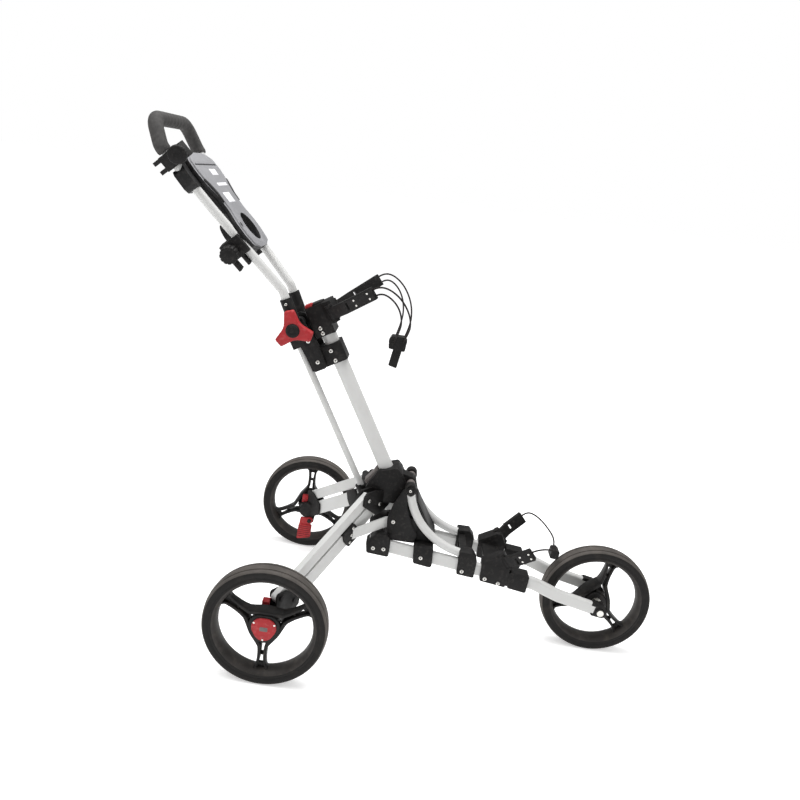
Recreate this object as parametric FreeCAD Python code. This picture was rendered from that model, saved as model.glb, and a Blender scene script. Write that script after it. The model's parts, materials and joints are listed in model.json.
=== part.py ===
import FreeCAD, Part
import math
import os

V = FreeCAD.Vector

# ---------------------------------------------------------------- driving dimensions, mm
ORIGIN_X = -254.0        # moves the rear axle line so that the box is centred on X = 0

WHEEL_R = 135.0          # 270 mm wheels
TYRE_W = 41.0
SEAT_R = 107.0           # tyre sits on the rim here
REAR_Y = 301.5           # half of the rear track
FRONT_X = 766.0          # wheelbase
AXLE_Z = WHEEL_R
BARREL_IN_R = 102.5
HUB_R = 26.0
REAR_AXLE_R = 6.0
FRONT_AXLE_R = 5.0
RUN = 0.05               # radial running clearance

MAST_X, MAST_Z = 184.0, 441.0
MAST_TILT = -29.67       # about Y, mast leans back
MAST_R = 17.5
MAST_BOTTOM, MAST_TOP = -100.0, 384.0

HINGE = V(272, 0, 374)   # mast fold axis
KNOB_P, KNOB_T = -57.0, 358.0   # handle fold axis in the mast frame
HANDLE_TILT = -42.92

TUBE_Y = 57.0            # lower frame tubes
TUBE_H, TUBE_W = 30.0, 18.0
TUBE_PTS = [V(190, 0, 229), V(596, 0, 182), V(660, 0, 159), V(752, 0, 139)]
BAR_Y, BAR_R = 53.0, 10.0
BAR_PTS = [V(273, 0, 368), V(303.5, 0, 254.9), V(427, 0, 228)]
BAR_BEND = 170.0
WALL = 1.6

LEG_A = V(169, -62, 338)         # inboard pivot of the right upper leg bar
LEG_ANGLE = -128.3               # plan direction of the right leg
LEG_SLOPE = 33.0
LEG_RUN = 250.0                  # horizontal length between pivots
LEG_B = V(-40, 0, -18)           # lower bar pivot, leg frame
LEG_T = 14.0
UPPER_BAR_H, LOWER_BAR_H = 26.0, 34.0
PIVOT_R = 4.0

HANDLE_R = 10.0
FOAM_R = 16.0
HANDLE_PTS = [V(-48, 50, 741), V(-80, 50, 806), V(-240, 92, 968), V(-350, 126, 1086),
              V(-377, 104, 1142)]
HANDLE_BENDS = [30.0, 60.0, 30.0, 38.0]

LINK_R = 8.0
LINK_FOOT = V(-76, 0, -78)       # lower end of the link rod, mast frame
LINK_LENGTH = 418.0

CORD_R = 2.0
STAY_Y = 47.5


# ---------------------------------------------------------------- frames and helpers
def mast_frame(shape):
    """Local X is forward of the mast, local Z runs up its axis."""
    return shape.transformed(FreeCAD.Placement(
        V(MAST_X, 0, MAST_Z), FreeCAD.Rotation(V(0, 1, 0), MAST_TILT)).toMatrix())


def mast_point(p, y, t):
    a = math.radians(MAST_TILT)
    return V(MAST_X + p * math.cos(a) + t * math.sin(a), y,
             MAST_Z - p * math.sin(a) + t * math.cos(a))


KNOB = mast_point(KNOB_P, 0, KNOB_T)


def handle_frame(shape):
    """Local Z runs up the handle from its fold axis, local X is normal to the console."""
    return shape.transformed(FreeCAD.Placement(
        KNOB, FreeCAD.Rotation(V(0, 1, 0), HANDLE_TILT)).toMatrix())


def leg_frame(shape):
    """Local X runs outboard along the right leg, local Z is up."""
    return shape.transformed(FreeCAD.Placement(
        LEG_A, FreeCAD.Rotation(V(0, 0, 1), LEG_ANGLE)).toMatrix())


def mirrored(shape):
    return shape.mirror(V(0, 0, 0), V(0, 1, 0))


def both(shape):
    return shape.fuse(mirrored(shape))


def box(x0, x1, y0, y1, z0, z1):
    return Part.makeBox(x1 - x0, y1 - y0, z1 - z0, V(x0, y0, z0))


def rod(point, r, y0, y1):
    """Cylinder along Y through point."""
    return Part.makeCylinder(r, y1 - y0, V(point.x, y0, point.z), V(0, 1, 0))


def ring(point, r_out, r_in, y0, y1):
    return rod(point, r_out, y0, y1).cut(rod(point, r_in, y0 - 1, y1 + 1))


def fuse_all(shapes):
    solid = shapes[0]
    for s in shapes[1:]:
        solid = solid.fuse(s)
    return solid.removeSplitter()


def corner(a, b, c, r):
    """Start, middle and end of the arc of radius r that rounds corner b."""
    u = (a - b).normalize()
    w = (c - b).normalize()
    half = u.getAngle(w) / 2
    reach = r / math.tan(half)
    axis = (u + w).normalize()
    middle = b + axis * (r / math.sin(half) - r)
    return b + u * reach, middle, b + w * reach


def open_path(points, radii):
    """Straight runs joined by tangent arcs."""
    edges = []
    start = points[0]
    for i, r in enumerate(radii):
        p, m, q = corner(points[i], points[i + 1], points[i + 2], r)
        if (p - start).Length > 1e-4:
            edges.append(Part.LineSegment(start, p).toShape())
        edges.append(Part.Arc(p, m, q).toShape())
        start = q
    edges.append(Part.LineSegment(start, points[-1]).toShape())
    return Part.Wire(edges)


def outline(points, r):
    """Closed wire with every corner rounded to r."""
    n = len(points)
    arcs = [corner(points[i - 1], points[i], points[(i + 1) % n], r) for i in range(n)]
    edges = []
    for i, (p, m, q) in enumerate(arcs):
        edges.append(Part.Arc(p, m, q).toShape())
        nxt = arcs[(i + 1) % n][0]
        if (nxt - q).Length > 1e-4:
            edges.append(Part.LineSegment(q, nxt).toShape())
    return Part.Wire(edges)


def side_plate(xz, r, y0, y1):
    """Outline in the XZ plane, extruded along Y."""
    wire = outline([V(x, y0, z) for x, z in xz], r)
    return Part.Face(wire).extrude(V(0, y1 - y0, 0))


def top_plate(xy, r, z0, z1):
    """Outline in the XY plane, extruded along Z."""
    wire = outline([V(x, y, z0) for x, y in xy], r)
    return Part.Face(wire).extrude(V(0, 0, z1 - z0))


def front_plate(yz, r, x0, x1):
    """Outline in the YZ plane, extruded along X."""
    wire = outline([V(x0, y, z) for y, z in yz], r)
    return Part.Face(wire).extrude(V(x1 - x0, 0, 0))


def swept_round(path, r):
    first = path.Edges[0]
    point = first.valueAt(first.FirstParameter)
    tangent = first.tangentAt(first.FirstParameter)
    circle = Part.Wire([Part.makeCircle(r, point, tangent)])
    return path.makePipeShell([circle], True, False)


def swept_flat(path, width, height, r):
    """Rounded rectangle, wide along Y, swept along a path in the XZ plane."""
    first = path.Edges[0]
    point = first.valueAt(first.FirstParameter)
    tangent = first.tangentAt(first.FirstParameter)
    side = V(0, 1, 0)
    up = tangent.cross(side).normalize()
    half_w, half_h = width / 2, height / 2
    pts = [point + side * a + up * b for a, b in
           ((-half_w, -half_h), (half_w, -half_h), (half_w, half_h), (-half_w, half_h))]
    return path.makePipeShell([outline(pts, r)], True, True)


def shifted(shape, y):
    return shape.translated(V(0, y, 0))


# ---------------------------------------------------------------- wheels
def tyre(centre):
    w = TYRE_W / 2
    crown = 9.0
    p0, p1 = V(0, -w + 3, SEAT_R), V(0, -w, SEAT_R + 6)
    p2, p3 = V(0, -w, WHEEL_R - crown - 4), V(0, -w * 0.72, WHEEL_R - 4)
    p4 = V(0, 0, WHEEL_R)
    q3, q2, q1, q0 = [V(0, -p.y, p.z) for p in (p3, p2, p1, p0)]
    line = Part.LineSegment
    edges = [line(p0, p1), line(p1, p2), line(p2, p3), Part.Arc(p3, p4, q3), line(q3, q2),
             line(q2, q1), line(q1, q0), line(q0, p0)]
    face = Part.Face(Part.Wire([e.toShape() for e in edges]))
    solid = face.revolve(V(0, 0, 0), V(0, 1, 0), 360)
    for y in (-8.0, 8.0):
        groove = ring(V(0, 0, 0), WHEEL_R + 2, WHEEL_R - 2.2, y - 1.2, y + 1.2)
        solid = solid.cut(groove)
    return solid.translated(centre)


def spoke(y0, y1):
    """Tapered spoke pointing up, with two windows."""
    body = side_plate([(-17, 16), (17, 16), (13, 103), (-13, 103)], 3, y0, y1)
    for z0, z1, w in ((38, 62, 7.5), (68, 93, 6.5)):
        slot = side_plate([(-w, z0), (w, z0), (w - 1, z1), (-w + 1, z1)], 3, y0 - 1, y1 + 1)
        body = body.cut(slot)
    return body


def rim(centre, hub_y0, hub_y1, bore_r):
    parts = [ring(V(0, 0, 0), SEAT_R, BARREL_IN_R, -17, 17), rod(V(0, 0, 0), HUB_R, hub_y0, hub_y1)]
    for k in range(3):
        arm = spoke(-9, 9)
        arm.rotate(V(0, 0, 0), V(0, 1, 0), 35 + 120 * k)
        parts.append(arm)
    keep = rod(V(0, 0, 0), SEAT_R, -40, 40)
    solid = fuse_all(parts).common(keep)
    return solid.cut(rod(V(0, 0, 0), bore_r, -60, 60)).translated(centre)


def rear_rim():
    """Right rear rim; the hub face that carries the cap is outboard."""
    return rim(V(0, -REAR_Y, AXLE_Z), -16.5, 20.0, REAR_AXLE_R + RUN)


def hub_cap():
    """Rounded triangle closing the hub, right side."""
    r = 29.0
    pts = []
    for k in range(3):
        a = math.radians(90 + 120 * k)
        pts.append((r * 1.15 * math.cos(a), r * 1.15 * math.sin(a)))
    disc = side_plate(pts, 9, -4.0, 0)
    dome = rod(V(0, 0, 0), 23.5, -4.0, 0)
    y = -REAR_Y - 16.5
    return disc.fuse(dome).removeSplitter().translated(V(0, y, AXLE_Z))


def rear_axle():
    """Right stub axle with its shoulder inside the housing."""
    c = V(0, 0, AXLE_Z)
    pin = rod(c, REAR_AXLE_R, -REAR_Y - 14, -246)
    shoulder = rod(c, 9, -280.5, -276)
    return pin.fuse(shoulder)


# ---------------------------------------------------------------- lower frame
def lower_tube():
    path = open_path(TUBE_PTS, [90.0, 90.0])
    outer = swept_flat(path, TUBE_W, TUBE_H, 6)
    inner = swept_flat(path, TUBE_W - 2 * WALL, TUBE_H - 2 * WALL, 4.4)
    return shifted(outer.cut(inner), -TUBE_Y)


def lower_tube_solid():
    path = open_path(TUBE_PTS, [90.0, 90.0])
    return shifted(swept_flat(path, TUBE_W, TUBE_H, 6), -TUBE_Y)


def curved_bar_solid():
    return shifted(swept_round(open_path(BAR_PTS, [BAR_BEND]), BAR_R), -BAR_Y)


def curved_bar():
    path = open_path(BAR_PTS, [BAR_BEND])
    solid = swept_round(path, BAR_R).cut(swept_round(path, BAR_R - WALL))
    lobe = rod(HINGE, 14.0, -70, 70)
    return shifted(solid, -BAR_Y).cut(lobe)


def lower_casting():
    """Fixed lower bracket: hinge lobes, outer cheeks with the stay boss, web and tube clevis."""
    lobe = rod(HINGE, 14.0, -58, -38)
    cheek = side_plate([(256, 372), (236, 330), (227, 292), (229, 268), (236, 240), (298, 240),
                        (302, 262), (286, 288), (270, 330), (268, 372)], 4, -57, -50.2)
    inner = side_plate([(262, 380), (282, 380), (292, 338), (350, 244), (350, 238), (263, 238),
                        (263, 300)], 3, -43, -35)
    joint = box(263, 300, -51, -42, 240, 300)
    clevis = side_plate([(298, 243), (346, 243), (348, 190), (302, 196)], 7, -72, -36)
    web = side_plate([(284, 338), (295, 338), (350, 243), (350, 236), (263, 236), (263, 246),
                      (318, 250)], 2.5, -36, 36)
    half = fuse_all([lobe, cheek, inner, joint, clevis])
    tubes = both(lower_tube_solid())
    bars = both(curved_bar_solid())
    solid = fuse_all([both(half), web]).cut(tubes).cut(bars)
    ear_room = rod(HINGE, 15.0, -35, 35)
    pin = rod(HINGE, 5.0, -80, 80)
    return solid.cut(ear_room).cut(pin)


def hinge_pin():
    """Bolt through the lobes, with the two spacer sleeves and the end heads."""
    bolt = rod(HINGE, 5.0, -60, 60)
    heads = both(rod(HINGE, 8.0, -62.5, -58))
    sleeve = both(rod(HINGE, 10.5, -35, -15.0))
    return fuse_all([bolt, heads, sleeve])


def rear_end_block():
    block = side_plate([(188, 206), (242, 202), (242, 238), (236, 256), (206, 256), (184, 234)],
                       6, -72, -42)
    cross = rod(V(214, 0, 236), 9, -45, 45)
    solid = fuse_all([both(block), cross])
    casting_room = box(225, 300, -58, 58, 238, 300)
    return solid.cut(both(lower_tube_solid())).cut(casting_room)


def mid_brace():
    """Clamps on both tubes and the sockets of the curved bars, joined by a cross web."""
    clamp = side_plate([(409, 184), (451, 180), (453, 226), (440, 242), (409, 242)], 4, -72, -41)
    web = box(413, 429, -43, 43, 206, 232).cut(box(405, 435, -26, 26, 213, 225))
    solid = fuse_all([both(clamp), web])
    return solid.cut(both(lower_tube_solid())).cut(both(curved_bar_solid()))


def lower_bag_bracket():
    sleeve = side_plate([(466, 176), (529, 168), (534, 222), (520, 246), (508, 246), (466, 222)],
                        5, -73, -41)
    collar = side_plate([(534, 167), (580, 160), (583, 205), (536, 210)], 5, -72, -42)
    neck = box(525, 540, -72, -66.5, 172, 206)
    plate = side_plate([(474, 204), (516, 199), (518, 212), (474, 217)], 3, -42, 42)
    solid = fuse_all([both(fuse_all([sleeve, collar, neck])), plate])
    solid = solid.cut(both(lower_tube_solid())).cut(both(bag_arm(lower_arm_frame, LOWER_ARM)))
    return arm_mount(solid, lower_arm_frame, LOWER_ARM)


def fork_lug():
    """Plug in the tube end that carries the front axle, right side."""
    lug = side_plate([(744, 124), (776, 120), (784, 136), (776, 152), (744, 158)], 6, -66, -48)
    solid = lug.cut(lower_tube_solid())
    return solid.cut(rod(V(FRONT_X, 0, AXLE_Z), FRONT_AXLE_R, -80, 80))


def front_axle():
    c = V(FRONT_X, 0, AXLE_Z)
    bolt = rod(c, FRONT_AXLE_R, -71, 71)
    nuts = both(rod(c, 8.0, -72, -66))
    spacers = both(rod(c, 8.5, -48, -24.5))
    return fuse_all([bolt, nuts, spacers])


def front_bearings():
    c = V(FRONT_X, 0, AXLE_Z)
    return both(ring(c, 13.0, FRONT_AXLE_R + RUN, -24, -16))


def front_rim():
    solid = rim(V(FRONT_X, 0, AXLE_Z), -24.0, 24.0, 9.0)
    c = V(FRONT_X, 0, AXLE_Z)
    return solid.cut(both(rod(c, 13.0, -25, -16)))


# ---------------------------------------------------------------- mast unit
def mast_tube():
    tube = Part.makeCylinder(MAST_R, MAST_TOP - MAST_BOTTOM, V(0, 0, MAST_BOTTOM))
    bore = Part.makeCylinder(MAST_R - 2, MAST_TOP - MAST_BOTTOM + 2, V(0, 0, MAST_BOTTOM - 1))
    return mast_frame(tube.cut(bore))


def mast_solid():
    return mast_frame(Part.makeCylinder(MAST_R, MAST_TOP - MAST_BOTTOM + 2, V(0, 0, MAST_BOTTOM)))


def leg_wing():
    """Two plates that hold the inboard ends of both leg bars, leg frame."""
    pts = [(16, 12), (16, -12), (-30, -44), (-52, -44), (-80, -26), (-80, 4), (-20, 20), (8, 20)]
    outer = side_plate(pts, 6, 7.6, 13.0)
    inner = side_plate(pts, 6, -13.0, -7.6)
    return outer.fuse(inner)


def leg_room():
    """Space the leg bars sweep inside the hub, leg frame."""
    return side_plate([(-62, -90), (120, -90), (120, 22), (-22, 22), (-22, 5), (-62, 5)],
                      2, -7.6, 7.6)


def upper_hub():
    body = side_plate([(-18, -40), (30, -50), (34, -66), (34, -112), (-8, -132), (-46, -112),
                       (-68, -84), (-62, -68)], 6, -30, 30)
    body = mast_frame(body)
    ear = side_plate([(246, 396), (276, 388), (284, 374), (276, 362), (246, 350)], 5, -14.5, 14.5)
    lobe = rod(HINGE, 13.0, -14.5, 14.5)
    wing = leg_frame(leg_wing())
    socket = mast_frame(Part.makeCylinder(13, 24, LINK_FOOT + V(0, 0, -10)))
    solid = fuse_all([body, ear, lobe, both(wing), socket])
    room = leg_frame(leg_room())
    solid = solid.cut(both(room)).cut(mast_solid())
    solid = solid.cut(rod(HINGE, 5.0 + RUN, -40, 40)).cut(both(rod(HINGE, 11.5, -40, -14.9)))
    solid = solid.cut(mast_frame(Part.makeCylinder(LINK_R, 40, LINK_FOOT)))
    pins = leg_frame(leg_pivot(V(0, 0, 0)).fuse(leg_pivot(LEG_B)))
    solid = solid.cut(both(pins)).cut(mast_frame(latch_pocket()))
    front_stop = box(259.5, 300, -60, 60, 200, 352)
    return solid.cut(front_stop)


def leg_pivot(at):
    """Shoulder screw through both wing plates, leg frame."""
    shaft = Part.makeCylinder(PIVOT_R, 26, at + V(0, -13, 0), V(0, 1, 0))
    head = Part.makeCylinder(6.5, 3.2, at + V(0, 13, 0), V(0, 1, 0))
    return shaft.fuse(head)


def mast_screws():
    """Leg pivot screws in the hub and the clamp screws of the upper brackets."""
    leg = leg_frame(leg_pivot(V(0, 0, 0)).fuse(leg_pivot(LEG_B)))
    solids = both(leg)
    for p, y, t in BRACKET_SCREWS:
        head = mast_frame(rod(V(p, 0, t), 4.8, -y - 2.6, -y))
        solids = solids.fuse(both(head))
    return solids


# place on the mast side, p and t, with the distance of the face from the middle plane
BRACKET_SCREWS = [(-6, 26, 249), (-7, 26, 274), (-44, 36, 262), (-45, 36, 316),
                  (-8, 26, 319), (-9, 26, 332)]


def link_rod():
    """Stay parallel to the mast, hub to handle bracket, with a plug in its upper end."""
    tube = Part.makeCylinder(LINK_R, LINK_LENGTH, LINK_FOOT)
    bore = Part.makeCylinder(LINK_R - WALL, LINK_LENGTH - 8, LINK_FOOT)
    return mast_frame(tube.cut(bore))


def handle_bracket():
    """Lower collar on the mast and the two plates that carry the handle barrel."""
    collar = top_plate([(-58, -26), (22, -26), (22, 26), (-58, 26)], 8, 242, 289)
    plate = side_plate([(-62, 242), (-28, 242), (-26, 300), (-38, 372), (-50, 380), (-66, 378),
                        (-74, 360), (-66, 300)], 7, -36, -26.5)
    rod_block = box(-87, -62, -28, 28, 308, 332)
    tie = box(-66, -52, -28, 28, 244, 282)
    solid = fuse_all([collar, plate, mirrored(plate), rod_block, tie])
    solid = mast_frame(solid).cut(mast_solid())
    rod_hole = mast_frame(Part.makeCylinder(LINK_R, LINK_LENGTH, LINK_FOOT))
    barrel = rod(KNOB, 13.0 + RUN, -60, 60)
    return solid.cut(rod_hole).cut(barrel)


def upper_bag_bracket():
    """Upper collar on the mast with the two ears of the bag arms."""
    collar = top_plate([(-27, -26), (14, -26), (30, -38), (38, -34), (38, 34), (30, 38),
                        (14, 26), (-27, 26)], 4, 312, 386)
    low = box(22, 60, -60, 60, 300, 334)
    cap = Part.makeCylinder(MAST_R + 4, 4, V(0, 0, MAST_TOP + 2))
    solid = fuse_all([collar.cut(low), cap])
    solid = mast_frame(solid).cut(mast_solid())
    return arm_mount(solid, upper_arm_frame, UPPER_ARM)


def latch_pocket():
    """Slot in the sloping rear face of the hub for the latch lever, mast frame."""
    return side_plate([(-74, -48), (-24, -26), (-13, -38), (-15, -53), (-46, -71), (-62, -71),
                       (-74, -66)], 2, -15, 15)


LATCH_AXIS = (-25.0, -46.0)      # in the mast frame


def latch_lever():
    """Finger lever lying in the rear face of the hub."""
    x, z = LATCH_AXIS
    barrel = rod(V(x, 0, z), 5.0, -14, 14)
    flap = side_plate([(-30, -44), (-22, -42), (-22, -50), (-46, -65), (-59, -64), (-61, -57)],
                      1.5, -13, 13)
    return mast_frame(barrel.fuse(flap).removeSplitter())


# ---------------------------------------------------------------- bag arms
def upper_arm_frame(shape):
    """Mast frame with the arms raised about their roots."""
    raised = shape.copy()
    raised.rotate(V(34, 0, 356), V(0, 1, 0), -UPPER_ARM_RISE)
    return mast_frame(raised)


def lower_arm_frame(shape):
    """Local X points forward and up along the lower arms."""
    return shape.transformed(FreeCAD.Placement(
        V(516, 0, 214), FreeCAD.Rotation(V(0, 1, 0), -40)).toMatrix())


UPPER_ARM_RISE = 8.0

# right arm pin, kink and tip in the arm frame, then the bottom and top of the arm
UPPER_ARM = (V(34, -40, 0), V(68, -66, 0), V(150, -104, 0), 342.0, 371.0)
LOWER_ARM = (V(14, -64, 0), V(36, -79, 0), V(86, -95, 0), -4.0, 25.0)
ARM_T = 9.0
ARM_PIN_R = 3.0


def arm_mount(bracket, frame, arm):
    """Ears and bolts that carry a pair of arms, with room for the knuckles."""
    pin, z0, z1 = arm[0], arm[3], arm[4]
    at = V(pin.x, pin.y, z0 - 7)
    ear = frame(Part.makeCylinder(9.0, z1 - z0 + 14, at))
    room = frame(Part.makeCylinder(9.6, z1 - z0 + 0.8, V(pin.x, pin.y, z0 - 0.4)))
    axle = frame(Part.makeCylinder(ARM_PIN_R, z1 - z0 + 10, V(pin.x, pin.y, z0 - 5)))
    return bracket.fuse(both(ear)).cut(both(room)).fuse(both(axle)).removeSplitter()


def bag_arm(frame, arm):
    """Bolted arm: knuckle, straight link and padded end with a slot."""
    pin, kink, tip, z0, z1 = arm
    knuckle = Part.makeCylinder(8.5, z1 - z0, V(pin.x, pin.y, z0))
    pieces = [knuckle]
    for a, b, extra in ((pin, kink, 0.0), (kink, tip, 3.0)):
        length = (b - a).Length
        half = ARM_T / 2
        bar = box(0, length, -half - extra, half, z0, z1)
        angle = math.degrees(math.atan2(b.y - a.y, b.x - a.x))
        bar.rotate(V(0, 0, 0), V(0, 0, 1), angle)
        pieces.append(bar.translated(V(a.x, a.y, 0)))
    pieces.append(Part.makeCylinder(ARM_T / 2, z1 - z0, V(kink.x, kink.y, z0)))
    solid = fuse_all(pieces)
    slot = box(0, 5, -30, 30, z0 + 6, z1 - 6)
    angle = math.degrees(math.atan2(tip.y - kink.y, tip.x - kink.x))
    slot.rotate(V(0, 0, 0), V(0, 0, 1), angle)
    solid = solid.cut(slot.translated(kink * 0.85 + tip * 0.15))
    solid = solid.cut(Part.makeCylinder(ARM_PIN_R, z1 - z0 + 2, V(pin.x, pin.y, z0 - 1)))
    return frame(solid)


# ---------------------------------------------------------------- rear legs, right side
def leg_bar(at, height, wall):
    """Flat tube between two pivots, rounded ends, leg frame."""
    length = LEG_RUN / math.cos(math.radians(LEG_SLOPE))
    half, over = height / 2, 12.0
    pts = [(-over, -half), (length + over, -half), (length + over, half), (-over, half)]
    outer = side_plate(pts, 8, -LEG_T / 2, LEG_T / 2)
    core = side_plate([(16, -half + wall), (length - 16, -half + wall),
                       (length - 16, half - wall), (16, half - wall)], 4,
                      -LEG_T / 2 + wall, LEG_T / 2 - wall)
    solid = outer.cut(core)
    for x in (0.0, length):
        solid = solid.cut(rod(V(x, 0, 0), PIVOT_R + RUN, -20, 20))
    solid.rotate(V(0, 0, 0), V(0, 1, 0), LEG_SLOPE)
    return solid.translated(at)


def upper_leg_bar():
    return leg_frame(leg_bar(V(0, 0, 0), UPPER_BAR_H, 1.8))


def lower_leg_bar():
    return leg_frame(leg_bar(LEG_B, LOWER_BAR_H, 1.8))


def leg_stay():
    """Bent flat brace from the casting boss, with its collar round the lower bar."""
    bend = V(223, -STAY_Y, 0)
    tip = V(150, -103, 0)
    a = math.degrees(math.atan2(tip.y - bend.y, tip.x - bend.x))
    run = box(0, (tip - bend).Length, -3, 3, 230, 320)
    run.rotate(V(0, 0, 0), V(0, 0, 1), a)
    run = run.translated(bend)
    eye = box(223, 254, -STAY_Y - 2.6, -STAY_Y + 2.6, 230, 320)
    knee = Part.makeCylinder(3.0, 90, V(223, -STAY_Y, 230))
    slab = side_plate([(130, 248), (240, 270), (254, 274), (254, 294), (240, 296), (130, 274)],
                      6, -140, 0)
    brace = fuse_all([run, eye, knee]).common(slab)
    collar = side_plate([(84, -21), (124, -21), (128, 0), (124, 21), (84, 21), (80, 0)], 5, -12, 12)
    bar = box(-40, 340, -LEG_T / 2, LEG_T / 2, -LOWER_BAR_H / 2, LOWER_BAR_H / 2)
    collar.rotate(V(0, 0, 0), V(0, 1, 0), LEG_SLOPE)
    bar.rotate(V(0, 0, 0), V(0, 1, 0), LEG_SLOPE)
    collar = leg_frame(collar.translated(LEG_B))
    bar = leg_frame(bar.translated(LEG_B))
    return brace.fuse(collar).cut(bar).removeSplitter()


def leg_end():
    return LEG_RUN, -LEG_RUN * math.tan(math.radians(LEG_SLOPE))


def axle_housing():
    """Outboard bracket: two plates, their pivots and the axle block."""
    x, z = leg_end()
    bx, bz = x + LEG_B.x, z + LEG_B.z
    pts = [(x + 13, z + 14), (x - 14, z + 14), (bx - 14, bz + 14), (bx - 14, bz - 14),
           (x - 14, z - 58), (x + 13, z - 58)]
    plates = side_plate(pts, 7, 7.6, 12.6).fuse(side_plate(pts, 7, -12.6, -7.6))
    foot = side_plate([(x - 20, z - 58), (x + 13, z - 58), (x + 13, z - 26), (x - 8, z - 26)],
                      5, -12.6, 12.6)
    pivots = [Part.makeCylinder(PIVOT_R, 22, V(px, -11, pz), V(0, 1, 0))
              for px, pz in ((x, z), (bx, bz))]
    heads = [Part.makeCylinder(6.2, 2.4, V(px, 12.6, pz), V(0, 1, 0))
             for px, pz in ((x, z), (bx, bz))]
    solid = leg_frame(fuse_all([plates, foot] + pivots + heads))
    block = rod(V(0, 0, AXLE_Z), 20, -276, -240)
    solid = solid.fuse(block).removeSplitter()
    solid = solid.cut(box(-80, 120, -300, -276.5, 0, 300))
    solid = solid.cut(rod(V(0, 0, AXLE_Z), REAR_AXLE_R, -300, -246))
    x0, x1, y0, y1, z0, z1 = BUTTON
    gap = 0.3
    return solid.cut(box(x0 - gap, x1 + gap, y0 - gap, y1 + gap, z0 - 6, z1 + 6))


BUTTON = (-17.0, -1.0, -272.0, -256.0, 151.0, 168.0)


def release_button():
    """Sprung red tab with ribs across its top, right side."""
    x0, x1, y0, y1, z0, z1 = BUTTON
    ribs = [box(x0, x1, y, y + 1.2, z1, z1 + 1.2) for y in (-270, -266, -262, -258)]
    return fuse_all([box(x0, x1, y0, y1, z0, z1)] + ribs)


def brake_mount():
    """Ear under the left housing with the brake pivot."""
    ear = side_plate([(2, 96), (22, 96), (26, 124), (-6, 124)], 5, 246, 252)
    pin = rod(V(12, 0, 106), 3.0, 236, 252)
    head = rod(V(12, 0, 106), 5.5, 232.5, 236)
    return fuse_all([ear, pin, head])


def brake_pedal():
    """Foot pedal with a ribbed pad, hanging inboard of the left wheel."""
    pivot = V(12, 0, 106)
    knuckle = rod(pivot, 9.0, 237, 245.4)
    arm = side_plate([(-14, 112), (14, 114), (18, 98), (8, 84), (-16, 88)], 4, 238, 245)
    pad = side_plate([(-19, 46), (19, 56), (20, 92), (-17, 92)], 4, 236, 245)
    solid = fuse_all([knuckle, arm, pad]).cut(rod(pivot, 3.0 + RUN, 200, 260))
    for z in range(56, 90, 6):
        solid = solid.cut(box(-30, 30, 235, 236.8, z, z + 2))
    return solid


# ---------------------------------------------------------------- handle
def handle_wire():
    left = HANDLE_PTS
    right = [V(p.x, -p.y, p.z) for p in reversed(HANDLE_PTS)]
    radii = HANDLE_BENDS + [HANDLE_BENDS[3], HANDLE_BENDS[2], HANDLE_BENDS[1], HANDLE_BENDS[0]]
    return open_path(left + right, radii[:8])


def handle_solid():
    return swept_round(handle_wire(), HANDLE_R)


def handle_loop():
    return handle_solid().cut(swept_round(handle_wire(), HANDLE_R - 1.5))


def grip_foam():
    """Foam sleeve round the top bar and its two bends, with finger grooves."""
    a, b = HANDLE_PTS[3], HANDLE_PTS[4]
    start = a + (b - a).normalize() * 13
    pts = [start, b, V(b.x, -b.y, b.z), V(start.x, -start.y, start.z)]
    body = swept_round(open_path(pts, [38.0, 38.0]), FOAM_R)
    for y in (-48, -24, 0, 24, 48):
        groove = ring(V(b.x, 0, b.z), FOAM_R + 3, FOAM_R - 1.2, y - 1.2, y + 1.2)
        body = body.cut(groove)
    return body.cut(handle_solid())


def handle_yoke():
    """Hinge barrel with the two sleeves that hold the handle tube."""
    barrel = rod(KNOB, 13.0, -63.5, 63.5)
    a, b = HANDLE_PTS[0], HANDLE_PTS[1]
    axis = (a - b).normalize()
    sleeve = Part.makeCylinder(14.0, (a - b).Length - 10, b + axis * 20, axis)
    knuckle = rod(KNOB, 17.0, 37, 63.5)
    solid = fuse_all([barrel, both(sleeve.fuse(knuckle))])
    keep_out = rod(KNOB, 60.0, -36.7, 36.7).cut(barrel)
    solid = solid.cut(keep_out).cut(handle_solid())
    return solid.cut(rod(KNOB, 4.0 + RUN, -90, 40))


def angle_knob():
    """Three-lobed clamp knob with its stud, right side."""
    lobes = []
    for k in range(3):
        lobe = side_plate([(-16, 0), (16, 0), (10.5, 45), (-10.5, 45)], 5, -83, -65)
        lobe.rotate(V(0, 0, 0), V(0, 1, 0), -18 + 120 * k)
        lobes.append(lobe)
    core = rod(V(0, 0, 0), 21, -83, -64.5)
    cap = rod(V(0, 0, 0), 14, -88, -83)
    stud = rod(V(0, 0, 0), 4.0, -64.5, 30)
    return fuse_all(lobes + [core, cap, stud]).translated(KNOB)


def console_outline():
    """Half outline (y, height up the handle), mirrored to a closed outline."""
    half = [(34, 192), (74, 202), (84, 232), (84, 262), (72, 292), (72, 330), (94, 364),
            (102, 400), (97, 428), (56, 444)]
    return half + [(-y, q) for y, q in reversed(half)]


def console_slab(x0, x1, inset):
    pts = [(y - math.copysign(inset, y), q) for y, q in console_outline()]
    return front_plate(pts, 11, x0, x1)


CUP_Q, CUP_R = 246.0, 36.0


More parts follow.
